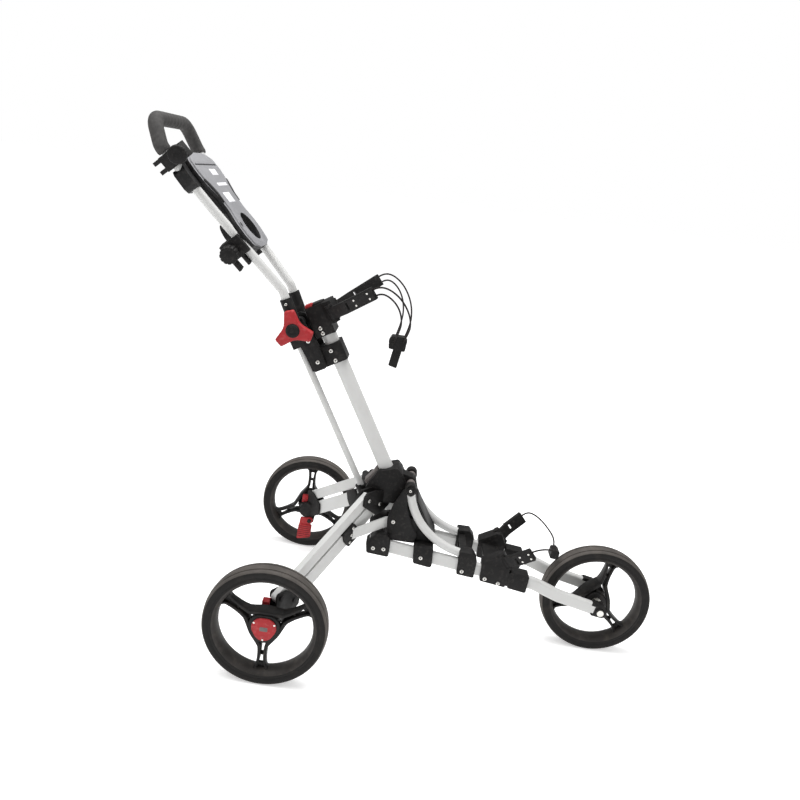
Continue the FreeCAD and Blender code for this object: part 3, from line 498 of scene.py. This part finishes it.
def recolour(piece, material, chosen):
    """Gives a second material to the faces chosen by their centre in own-frame mm.

    Faces on the left are judged by their mirror image on the right."""
    piece.data.materials.append(material)
    for face in piece.data.polygons:
        x, y, z = face.center / MM
        if chosen(Vector((x - SHIFT / MM, -abs(y), z))):
            face.material_index = 1


def screw(radius=4.7, height=2.2):
    """Button head with a hexagon socket; the socket has the second material, a near-black painted
    shade.
    """
    bm = bmesh.new()
    socket = radius * 0.42
    merge(bm, lathe([(radius, 0), (radius, height * 0.5), (radius * 0.82, height * 0.9),
                     (radius * 0.62, height), (socket, height)], 24))
    merge(bm, lathe([(socket, height), (socket, height * 0.35), (0, height * 0.3)], 6),
          material=1)
    return bm


def screws(name, spots, body, radius=4.7):
    """One piece of many screw heads; each spot is a matrix from the head's own mm frame."""
    bm = bmesh.new()
    for spot in spots:
        merge(bm, screw(radius), spot, None)
    return finished(name, bm, Matrix.Identity(4), body,
                    [LOOKS["steel"], LOOKS["socket_painted_shade"]])


def side_spots(points):
    """Screw places on both sides: (x, distance from the middle, z) in the own frame."""
    spots = []
    for x, y, z in points:
        spots.append(place((x, -y, z), TOWARDS_RIGHT))
        spots.append(place((x, y, z), TOWARDS_LEFT))
    return spots


# ------------------------------------------------------------------ wheels
TYRE_HALF = 20.5
SPOKE_REACH = 103.0


def tyre_profile():
    """Section (radius, across) from bead to bead, with two shallow grooves by the crown."""
    edge = TYRE_HALF
    crown = WHEEL_R
    half = [(106.5, 15.0), (109.5, 19.0), (111.5, 20.0), (113.0, edge - 0.2),
            (117.0, edge), (118.0, edge - 0.5), (119.0, edge), (crown - 7.5, edge),
            (crown - 4.8, edge - 0.5), (crown - 3.0, edge - 1.6), (crown - 2.0, edge - 3.4),
            (crown - 1.5, 14.0), (crown - 1.6, 12.2), (crown - 2.9, 11.5),
            (crown - 2.9, 8.6), (crown - 1.0, 7.9), (crown - 0.2, 5.0), (crown, 2.0)]
    return half + [(r, -y) for r, y in reversed(half)]


def make_tyre(node, axle):
    """Tyre turned about its axle, with a paler crown that is partly real wear and dust, partly
    painted light from above.
    """
    matrix = Matrix.Translation(axle) @ Matrix.Rotation(math.pi / 2, 4, "X") \
        @ Matrix.Scale(MM, 4)
    bm = lathe(tyre_profile(), 128, closed=True)
    # crown faces take the paler tread look, which is partly wear and dust and partly painted
    # light
    for face in bm.faces:
        middle = face.calc_center_median()
        face.material_index = 1 if math.hypot(middle.x, middle.y) > WHEEL_R - 5 else 0
    return finished(node + "_shape", bm, matrix, NODES[node]["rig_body"],
                    [LOOKS["tyre_rubber"], LOOKS["tyre_tread_worn_and_lit"]], replaces=[node], sharp=50)


def polar(angle, along, off):
    """Point at a distance along a spoke and off its middle line."""
    s, c = math.sin(angle), math.cos(angle)
    return Vector((s * along + c * off, c * along - s * off))


def rail_path(angle):
    """Wall that runs from one spoke's foot round the hub to the next spoke's foot."""
    start = [(SPOKE_REACH, 13.5), (95, 9.0), (82, 7.0), (66, 6.4), (52, 7.2), (42, 10.0)]
    step = math.radians(120)
    points = [polar(angle, along, off) for along, off in start]
    points.append(polar(angle + step / 2, 31.5, 0))
    points += [polar(angle + step, along, -off) for along, off in reversed(start)]
    return smoothed(points, 8)


def smoothed(points, steps):
    """Catmull-Rom line through points."""
    made = []
    for i in range(len(points) - 1):
        a, b = points[max(i - 1, 0)], points[i]
        c, d = points[i + 1], points[min(i + 2, len(points) - 1)]
        for k in range(steps):
            t = k / steps
            made.append(0.5 * (2 * b + (c - a) * t + (2 * a - 5 * b + 4 * c - d) * t ** 2
                               + (3 * b - a - 3 * c + d) * t ** 3))
    return made + [points[-1]]


def rail(angle, front, back):
    """One curved wall as a bar of changing section; front and back are its depths."""
    bm = bmesh.new()
    path = rail_path(angle)
    count = len(path)
    rings = []
    for i, p in enumerate(path):
        along = (path[min(i + 1, count - 1)] - path[max(i - 1, 0)]).normalized()
        normal = Vector((-along.y, along.x))
        middle = 1 - abs(2 * i / (count - 1) - 1)
        wide = 2.9 + 1.6 * middle ** 2
        foot = max(0.0, 1 - middle * 9)
        high = 7.5 + (front - 7.5) * middle ** 1.4 + 3.5 * foot
        low = -7.5 - (back - 7.5) * middle ** 1.4 - 3.5 * foot
        section = rounded([(-wide, low, 1.4), (wide, low, 1.4), (wide, high, 1.4),
                           (-wide, high, 1.4)], 2)
        rings.append([bm.verts.new((p.x + normal.x * q.x, p.y + normal.y * q.x, q.y))
                      for q in section])
    for low_ring, high_ring in zip(rings, rings[1:]):
        for k in range(len(low_ring)):
            n = (k + 1) % len(low_ring)
            bm.faces.new((low_ring[k], low_ring[n], high_ring[n], high_ring[k]))
    bm.faces.new(rings[0])
    bm.faces.new(rings[-1])
    return bm


def rim_mesh(hub_front, hub_back):
    """Barrel, three split spokes and the hub, axis on local Z, a spoke along local Y."""
    bm = bmesh.new()
    half = [(106.8, 0.0), (106.8, 14.5), (110.5, 18.6), (112.6, 19.9), (111.6, 20.3),
            (108.0, 18.4), (105.0, 14.5), (103.2, 9.0), (102.4, 4.0)]
    merge(bm, lathe(half + [(102.2, 0.0)] + [(r, -y) for r, y in reversed(half[1:])], 128,
                    closed=True), material=1)
    for k in range(3):
        angle = math.radians(120 * k)
        merge(bm, rail(angle, hub_front - 3, hub_back - 4))
        turn = Matrix.Rotation(-angle, 4, "Z")
        merge(bm, block(-7.0, 7.0, 67.0, 71.0, -6.0, 5.5, 1.0), turn)
        merge(bm, block(-10.5, 10.5, 21.0, 31.0, -hub_back + 6, hub_front - 5, 2.0), turn)
        foot = rounded([(-17, 103.5, 1), (-9, 95, 4), (-6, 91, 3), (6, 91, 3), (9, 95, 4),
                        (17, 103.5, 1)], 3)
        merge(bm, prism(foot, -4.0, 2.0, 0.8), turn)
    merge(bm, lathe([(6.1, hub_front), (19.0, hub_front), (24.5, hub_front - 0.8),
                     (25.6, hub_front - 2.5), (26.0, 4), (24.0, -6), (19.0, -hub_back + 3),
                     (18.0, -hub_back), (6.1, -hub_back)], 64, closed=True))
    return bm


def make_rim(node, axle, side, phase, hub_front, hub_back):
    """side is -1 where the outer face looks to -Y; phase turns a spoke from upright."""
    angle, axis = TOWARDS_RIGHT if side < 0 else TOWARDS_LEFT
    matrix = Matrix.Translation(axle) @ Matrix.Rotation(angle, 4, axis) @ Matrix.Scale(MM, 4)
    bm = rim_mesh(hub_front, hub_back)
    spin = phase if side < 0 else 180 + phase
    bmesh.ops.transform(bm, matrix=Matrix.Rotation(math.radians(-spin), 4, "Z"),
                        verts=bm.verts)
    finished(node + "_shape", bm, matrix, NODES[node]["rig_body"],
             [LOOKS["rim_plastic"], LOOKS["rim_barrel"]], replaces=[node], sharp=34)
    return matrix


def make_cap(side_name, matrix, phase):
    """Red rounded triangle with three screws and a plain field, over a larger dark one."""
    face, back = 20.4, 16.6

    def triangle(reach, corner):
        spots = [math.radians(90 + 120 * k) for k in range(3)]
        return rounded([(reach * math.cos(a), reach * math.sin(a), corner) for a in spots], 10)

    bm = bmesh.new()
    merge(bm, prism(triangle(49, 21.5), back, face, 1.2, 3))
    merge(bm, prism(rounded([(-8.5, -5, 2), (8.5, -5, 2), (8.5, 5, 2), (-8.5, 5, 2)], 4),
                    face - 0.2, face + 0.1, 0.2), material=1)
    merge(bm, prism(triangle(58, 23), 4.0, back - 0.2, 1.5, 3), material=3)
    for k in range(3):
        a = math.radians(90 + 120 * k)
        spot = Matrix.Translation((25.0 * math.cos(a), 25.0 * math.sin(a), face - 1.2))
        merge(bm, lathe([(2.6, 0), (2.6, 0.9), (1.9, 1.3), (0, 1.4)], 20), spot, material=2)
    bmesh.ops.transform(bm, matrix=Matrix.Rotation(math.radians(-phase), 4, "Z"),
                        verts=bm.verts)
    node = "hub_cap_" + side_name
    finished(node + "_shape", bm, matrix, NODES[node]["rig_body"],
             [LOOKS["red_plastic"], LOOKS["warm_grey"], LOOKS["steel"],
              LOOKS["rim_plastic"]], replaces=[node])


def make_wheels():
    """Three wheels; each phase is the turn of a spoke from upright, in degrees."""
    near_phase, far_phase, front_phase = 180.0, 0.0, 14.0
    for name, side, phase in (("right", -1, near_phase), ("left", 1, far_phase)):
        axle = centre("rear_tyre_" + name)
        make_tyre("rear_tyre_" + name, axle)
        matrix = make_rim("rear_rim_" + name, axle, side, phase, 16.5, 20.0)
        make_cap(name, matrix, phase if side < 0 else 180 + phase)
    make_tyre("front_tyre", FRONT_AXLE)
    make_rim("front_rim", FRONT_AXLE, -1, front_phase, 24.0, 24.0)


# ------------------------------------------------------------------ handle
HANDLE_LOW = Vector((-240.0, 92.0, 968.0))
HANDLE_SIDE = Vector((-350.0, 126.0, 1086.0))
HANDLE_TOP = Vector((-377.0, 104.0, 1142.0))
SIDE_BEND = 9.6                    # from the side corner to where its bend starts


def grip_path():
    """Middle line of the foam: side bends, short sides, top bends and top bar, in mm."""
    down = (HANDLE_SIDE - HANDLE_TOP).normalized()
    inward = Vector((0, -1, 0))
    half = down.angle(inward) / 2
    bend = 38.0
    reach = bend / math.tan(half)
    middle = HANDLE_TOP + (down + inward).normalized() * (bend / math.sin(half))
    start, end = HANDLE_TOP + down * reach - middle, HANDLE_TOP + inward * reach - middle
    arc = [middle + start.slerp(end, k / 16) * bend for k in range(17)]
    below = (HANDLE_LOW - HANDLE_SIDE).normalized()
    low, high = HANDLE_SIDE + below * SIDE_BEND, HANDLE_SIDE - down * SIDE_BEND
    turn = [low.lerp(HANDLE_SIDE, k / 8).lerp(HANDLE_SIDE.lerp(high, k / 8), k / 8)
            for k in range(8)]
    leg = [low + below * 4] + turn + [high.lerp(arc[0], k / 8) for k in range(8)]
    bar_end = arc[-1]
    bar = [bar_end.lerp(Vector((bar_end.x, 0, bar_end.z)), k / 40) for k in range(1, 41)]
    left = leg + arc + bar
    return left + [Vector((p.x, -p.y, p.z)) for p in reversed(left[:-1])]


FOAM_R = 15.6
GROOVE_PITCH = 21.0
GROOVE_DEPTH, GROOVE_WIDTH = 1.5, 1.3
FIRST_GROOVE = -52                 # from the middle of the top bar
WAVE_REACH, WAVE_DEPTH = 60, 0.35  # slight swell of the foam between the grooves


def make_grip():
    """Foam sleeve with finger grooves along its top bar and rounded ends."""
    path = grip_path()
    lengths = [0.0]
    for a, b in zip(path, path[1:]):
        lengths.append(lengths[-1] + (b - a).length)
    total = lengths[-1]
    grooves = [total / 2 + FIRST_GROOVE + GROOVE_PITCH * k for k in range(6)]

    def radius(share):
        index = min(int(round(share * (len(path) - 1))), len(path) - 1)
        s = lengths[index]
        r = FOAM_R
        for g in grooves:
            r -= GROOVE_DEPTH * math.exp(-((s - g) / GROOVE_WIDTH) ** 2)
        bulge = math.cos((s - total / 2 - 0.5) / GROOVE_PITCH * 2 * math.pi)
        if abs(s - total / 2) < WAVE_REACH:
            r -= WAVE_DEPTH * bulge
        end = min(s, total - s)
        return r - 1.5 * math.exp(-end / 1.2)

    bm = sweep(path, radius, 40)
    piece = finished("grip_foam_shape", bm, OWN, "handle",
                     [LOOKS["grip_foam"]], replaces=["grip_foam"], sharp=60)


def make_angle_knob():
    """Three-lobed red knob with a black cap and stud."""
    points = []
    for k in range(3):
        turn = Matrix.Rotation(math.radians(18 + 120 * k), 2)
        for x, y, r in ((-10.5, 45, 4.0), (10.5, 45, 4.0)):
            v = turn @ Vector((x, y))
            points.append((v.x, v.y, r))
        inner = turn @ (Matrix.Rotation(math.radians(-60), 2) @ Vector((0, 21.0)))
        points.append((inner.x, inner.y, 34.0))
    order = sorted(points, key=lambda p: math.atan2(p[1], p[0]))
    bm = bmesh.new()
    merge(bm, prism(rounded(order, 8), 65.0, 83.0, 2.4, 3))
    cap = [(14.5, 82.0), (14.5, 86.0), (13.2, 87.6), (9.5, 88.0), (9.0, 87.2), (5.0, 87.0),
           (4.4, 87.6), (0, 87.8)]
    merge(bm, lathe(cap, 48), material=1)
    merge(bm, lathe([(16.0, 82.6), (16.0, 83.6), (14.4, 84.2)], 48), material=1)
    merge(bm, lathe([(21, 64.4), (21, 66), (4, 66), (4, 20)], 32), material=1)
    matrix = place((KNOB_MM[0], 0, KNOB_MM[2]), TOWARDS_RIGHT)
    finished("angle_knob_shape", bm, matrix, "angle_clamp",
             [LOOKS["red_plastic"], LOOKS["black_plastic"]], replaces=["angle_knob"])


def joint_place(name):
    """Frame in mm at a joint, local Z along its axis."""
    joint = next(j for j in frame["record"]["behaviour"]["joints"] if j["name"] == name)
    turn = Vector((0, 0, 1)).rotation_difference(Vector(joint["axis"]))
    return Matrix.Translation(joint["pos_m"]) @ turn.to_matrix().to_4x4() \
        @ Matrix.Scale(MM, 4)


def fluted(radius, low, high, flutes, depth):
    """Knob with grooves down its rim; local Z is its axis."""
    bm = bmesh.new()
    steps = flutes * 8
    layers = [(low, 0.9), (low + 1.5, 0.98), (low + 3, 1.0), (high - 3, 1.0),
              (high - 1.2, 0.96), (high, 0.86)]
    rows = []
    for z, scale in layers:
        row = []
        for k in range(steps):
            a = 2 * math.pi * k / steps
            wave = max(0.0, math.cos(flutes * a)) ** 3
            r = (radius - depth * wave) * scale
            row.append(bm.verts.new((r * math.cos(a), r * math.sin(a), z)))
        rows.append(row)
    for a_row, b_row in zip(rows, rows[1:]):
        for k in range(steps):
            n = (k + 1) % steps
            bm.faces.new((a_row[k], a_row[n], b_row[n], b_row[k]))
    bm.faces.new(rows[0])
    bm.faces.new(rows[-1])
    return bm


def make_tube_knobs():
    """Knobs of the umbrella clamp and the accessory mount, up from each joint's place."""
    bm = fluted(20.0, 0.4, 14.6, 18, 0.7)
    merge(bm, lathe([(13.0, 14.4), (12.0, 15.2), (6.0, 15.2), (5.0, 13.8), (0, 13.6)], 40))
    finished("clamp_knob_shape", bm, joint_place("umbrella_knob_turn"), "umbrella_knob",
             [LOOKS["black_plastic"]], replaces=["clamp_knob"])
    bm = fluted(20.0, 0.6, 24.0, 12, 2.0)
    merge(bm, lathe([(13.0, 23.8), (12.0, 24.4), (0, 24.4)], 40))
    finished("accessory_knob_shape", bm, joint_place("mount_knob_turn"), "mount_knob",
             [LOOKS["black_plastic"]], replaces=["accessory_knob"])


CONSOLE_FACE = 46.0


def make_console_details():
    """Blank labels, dial, slot lining and side pockets on the console."""
    forward = Matrix.Rotation(math.pi / 2, 4, "Y")
    labels = bmesh.new()
    for y, q, w, h in ((20, 393, 48, 16), (17, 360, 76, 8), (-4, 325, 52, 26)):
        spot = Matrix.Translation((CONSOLE_FACE - 0.25, y, q)) @ forward
        merge(labels, block(-h / 2, h / 2, -w / 2, w / 2, 0, 0.4, 0.3), spot)
    finished("console_labels", labels, HANDLE, "handle",
             [LOOKS["label_white"]])
    dark = bmesh.new()
    merge(dark, block(411.2, 414.8, -79.5, 79.5, 0, 0.8, 0.2),
          Matrix.Translation((41.6, 0, 0)) @ Matrix.Rotation(-math.pi / 2, 4, "Y")
          @ Matrix.Scale(-1, 4, (0, 0, 1)))
    spot = Matrix.Translation((41.2, -62, 254)) @ forward
    merge(dark, lathe([(6.8, 0), (6.8, 2.4), (5.6, 2.8), (4.6, 2.0), (0, 2.0)], 36), spot)
    pocket = [(92, 374, 5), (84, 360, 12), (70, 334, 10), (68, 312, 4), (62, 318, 6),
              (60, 336, 16), (70, 360, 16), (84, 376, 6)]
    for side in (1, -1):
        shape = rounded([(-q, side * y, r) for y, q, r in pocket])
        merge(dark, prism(shape, 42.6, CONSOLE_FACE + 0.3, 0.3), forward)
    finished("console_dial", dark, HANDLE, "handle",
             [LOOKS["console_dark"]])


# ------------------------------------------------------------------ screws and small trim
def make_screws():
    """Screw heads of the handle yoke, lower frame, leg pivots and mast."""
    screws("yoke_screws", side_spots([(-66.8, 64.0, 777.4)]), "handle", 3.4)
    own = side_spots([(203, 72.0, 220), (228, 72.0, 221)])
    own += side_spots([(242, 57.0, 287), (319, 72.0, 212)])
    own += side_spots([(421, 72.0, 193), (478, 73.0, 183), (511, 73.0, 176)])
    screws("frame_screws", own, "base")
    leg_spots = []
    for side in (Matrix.Identity(4), FLIP):
        for x, z in ((0, 0), (-40, -18)):
            local = Matrix.Translation((x, 13.2, z)) @ Matrix.Rotation(-math.pi / 2, 4, "X")
            leg_spots.append(side @ LEG @ local)
    mast = []
    for p, y, t in ((-6, 26, 249), (-7, 26, 274), (-44, 36, 262), (-45, 36, 316),
                    (-8, 26, 319), (-9, 26, 332)):
        for sign, turn in ((-1, math.pi / 2), (1, -math.pi / 2)):
            local = Matrix.Translation((p, sign * y, t)) @ Matrix.Rotation(turn, 4, "X")
            mast.append(MAST @ local)
    piece = screws("mast_screw_heads", leg_spots + mast, "mast_unit")
    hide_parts("mast_screws")


def arm_details():
    """Small screws on the outer faces of the upper and lower arms."""
    upper = MAST @ Matrix.Translation((34, 0, 356)) @ Matrix.Rotation(-ARM_RISE, 4, "Y") \
        @ Matrix.Translation((-34, 0, -356))
    lower = place((516, 0, 214), (math.radians(-40), "Y"))
    rows = (("upper_arm", "mast_unit", upper, (68, -66), (150, -104), (342, 371)),
            ("lower_arm", "base", lower, (36, -79), (86, -95), (-4, 25)))
    for name, body, frame_matrix, kink, tip, (low, high) in rows:
        for side in (1, -1):
            bm = bmesh.new()
            a, b = Vector((*kink, 0)), Vector((*tip, 0))
            along = (b - a).normalized()
            out = Vector((along.y, -along.x, 0)) * (1 if along.y < 0 else -1)
            turn = Matrix((along, Vector((0, 0, 1)), out)).transposed().to_4x4()
            length = (b - a).length
            face = 7.5
            for share, z in ((0.42, low + 8), (0.42, high - 8), (0.86, low + 8),
                             (0.86, high - 8)):
                spot = Matrix.Translation(a + along * length * share + out * face
                                          + Vector((0, 0, z))) @ turn
                merge(bm, lathe([(2.4, -0.2), (2.4, 0.8), (1.7, 1.2), (0, 1.3)], 16), spot)
            flip = Matrix.Identity(4) if side > 0 else FLIP
            where = "right" if side > 0 else "left"
            finished(name + "_screws_" + where, bm, flip @ frame_matrix, body,
                     [LOOKS["steel"]])


def release_tab():
    """Small ribbed red tab on top of the upper bag bracket."""
    bm = block(-24, -6, -22, -2, 385.8, 393.0, 1.5)
    for rib in (-20, -15, -10):
        merge(bm, block(rib - 0.8, rib + 0.8, -21, -3, 392.6, 394.0, 0.3))
    finished("release_tab", bm, MAST, "mast_unit", [LOOKS["red_plastic"]])


def leg_details():
    """Screws on the collar of each leg stay."""
    for side, flip in (("right", Matrix.Identity(4)), ("left", FLIP)):
        bm = bmesh.new()
        slope = Matrix.Rotation(LEG_SLOPE, 4, "Y")
        for x, z in ((92, 13), (104, 0), (116, -13)):
            spot = Matrix.Translation((-40, 0, -18)) @ slope \
                @ Matrix.Translation((x, 12.0, z)) @ Matrix.Rotation(-math.pi / 2, 4, "X")
            merge(bm, screw(3.6, 1.8), spot, None)
        finished("collar_screws_" + side, bm, flip @ LEG, NODES["leg_stay_" + side]["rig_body"],
                 [LOOKS["steel"], LOOKS["socket_painted_shade"]])


# ------------------------------------------------------------------ elastic cords
OUTER_ROUTE = [(124.3, -104, 844.5), (137.2, -111.6, 854.5), (162.9, -110, 851.5),
               (191.6, -98, 830), (212.1, -78, 796.1), (218.1, -52, 762), (212, -28, 735),
               (205, -12, 718), (204, -6.5, 703.5)]
INNER_ROUTE = [(133.4, -104, 832.6), (144.3, -110.4, 841), (167.1, -108, 832.8),
               (187.2, -92, 809.6), (196.7, -70, 777.6), (194.2, -46, 749.8), (188, -26, 728),
               (184.5, -12, 714), (184, -5, 702)]
LOWER_ROUTE = [(572.2, -95, 280.8), (583.2, -99.6, 290), (602, -92, 291), (622, -74, 283),
               (640, -52, 270), (648, -30, 262), (647, -13, 250), (646, -5, 238)]
CORD_DIAMETER = 0.004


def make_cord(node, half):
    """Elastic cord along a half route and its mirror image."""
    points = [at(*p) for p in half + [(x, -y, z) for x, y, z in reversed(half)]]
    curve = bpy.data.curves.new(node + "_line", "CURVE")
    curve.dimensions = "3D"
    spline = curve.splines.new("NURBS")
    spline.points.add(len(points) - 1)
    for point, where in zip(spline.points, points):
        point.co = (*where, 1)
    spline.use_endpoint_u = True
    spline.order_u = 3
    curve.bevel_depth = CORD_DIAMETER / 2
    curve.bevel_resolution = 5
    curve.resolution_u = 10
    curve.materials.append(LOOKS["elastic"])
    piece = bpy.data.objects.new(node + "_line", curve)
    bpy.context.scene.collection.objects.link(piece)
    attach(piece, NODES[node]["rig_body"])
    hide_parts(node)


def make_cords():
    """Two cords of the upper arms, one of the lower arms."""
    make_cord("upper_cord_outer", OUTER_ROUTE)
    make_cord("upper_cord_inner", INNER_ROUTE)
    make_cord("lower_cord", LOWER_ROUTE)


# ------------------------------------------------------------------ softened CAD pieces
SOFTENED = {
    "lower_casting": 2.2, "mid_brace": 1.4, "rear_end_block": 1.8, "lower_bag_bracket": 1.4,
    "fork_lug_right": 1.0, "fork_lug_left": 1.0, "upper_hub": 2.0, "handle_bracket": 1.4,
    "upper_bag_bracket": 1.2, "upper_arm_right": 1.0, "upper_arm_left": 1.0,
    "lower_arm_right": 1.0, "lower_arm_left": 1.0, "axle_housing_right": 1.4,
    "axle_housing_left": 1.4, "handle_yoke": 1.2, "umbrella_clamp": 1.4,
    "accessory_mount": 1.4, "console_base": 1.4, "latch_lever": 0.8,
    "release_button_right": 0.4, "release_button_left": 0.4,
}


COLLAR_SIDE = 12.4                 # across the leg, in the leg's frame
COVER_EDGE = 42.2                  # along local X of the handle's frame
PEDAL_GROOVES = (-236.9, -236.2)   # sideways limits of the groove floors, which take painted shade


def on_stay(point):
    """True beyond the collar, which lies in a slab round the lower leg bar."""
    return (LEG_MM.inverted() @ point).y > COLLAR_SIDE


def on_cover_side(point):
    """True on the cover's side walls and in its cup opening, below the top face."""
    return (HANDLE_MM.inverted() @ point).x < COVER_EDGE


def in_pedal_groove(point):
    """True on the floors of the brake pedal's grooves, which take a darker red as painted shade.
    """
    low, high = PEDAL_GROOVES
    return low < point.y < high


def on_bolt_end(point):
    """True on the end caps of the hinge bolt."""
    return point.y < -56


def dress_two_tone():
    """Leg stays with black collars, hinge bolt with black caps, cover with dark sides, pedal
    grooves with painted shade.
    """
    cover = softened("console_cover", LOOKS["console_grey"], 1.2)
    recolour(cover, LOOKS["console_dark"], on_cover_side)
    for side in ("right", "left"):
        stay = softened("leg_stay_" + side, LOOKS["black_plastic"], 0.8)
        recolour(stay, LOOKS["white_paint"], on_stay)
    # the pedal's groove floors get a darker red, painted shade in the recesses
    pedal = softened("brake_pedal", LOOKS["red_plastic"], 0.5)
    recolour(pedal, LOOKS["red_groove_painted_shade"], in_pedal_groove)
    pin = softened("hinge_pin", LOOKS["warm_grey"], 0.8)
    recolour(pin, LOOKS["black_plastic"], on_bolt_end)
    screws("hinge_bolt_ends", side_spots([(272, 62.3, 374)]), "base", 3.6)


def dress_cad():
    """Rounded copies of the moulded and cast pieces, and a look for every CAD node."""
    for node, width in SOFTENED.items():
        softened(node, LOOKS[SLOTS[node]], width)
    for node, piece in NODES.items():
        piece.data.materials.clear()
        piece.data.materials.append(LOOKS[SLOTS[node]])


make_camera()
LOOKS = make_materials()
make_cords()
make_stage()
make_wheels()
make_grip()
make_angle_knob()
make_tube_knobs()
make_console_details()
make_screws()
arm_details()
release_tab()
leg_details()
dress_two_tone()
dress_cad()
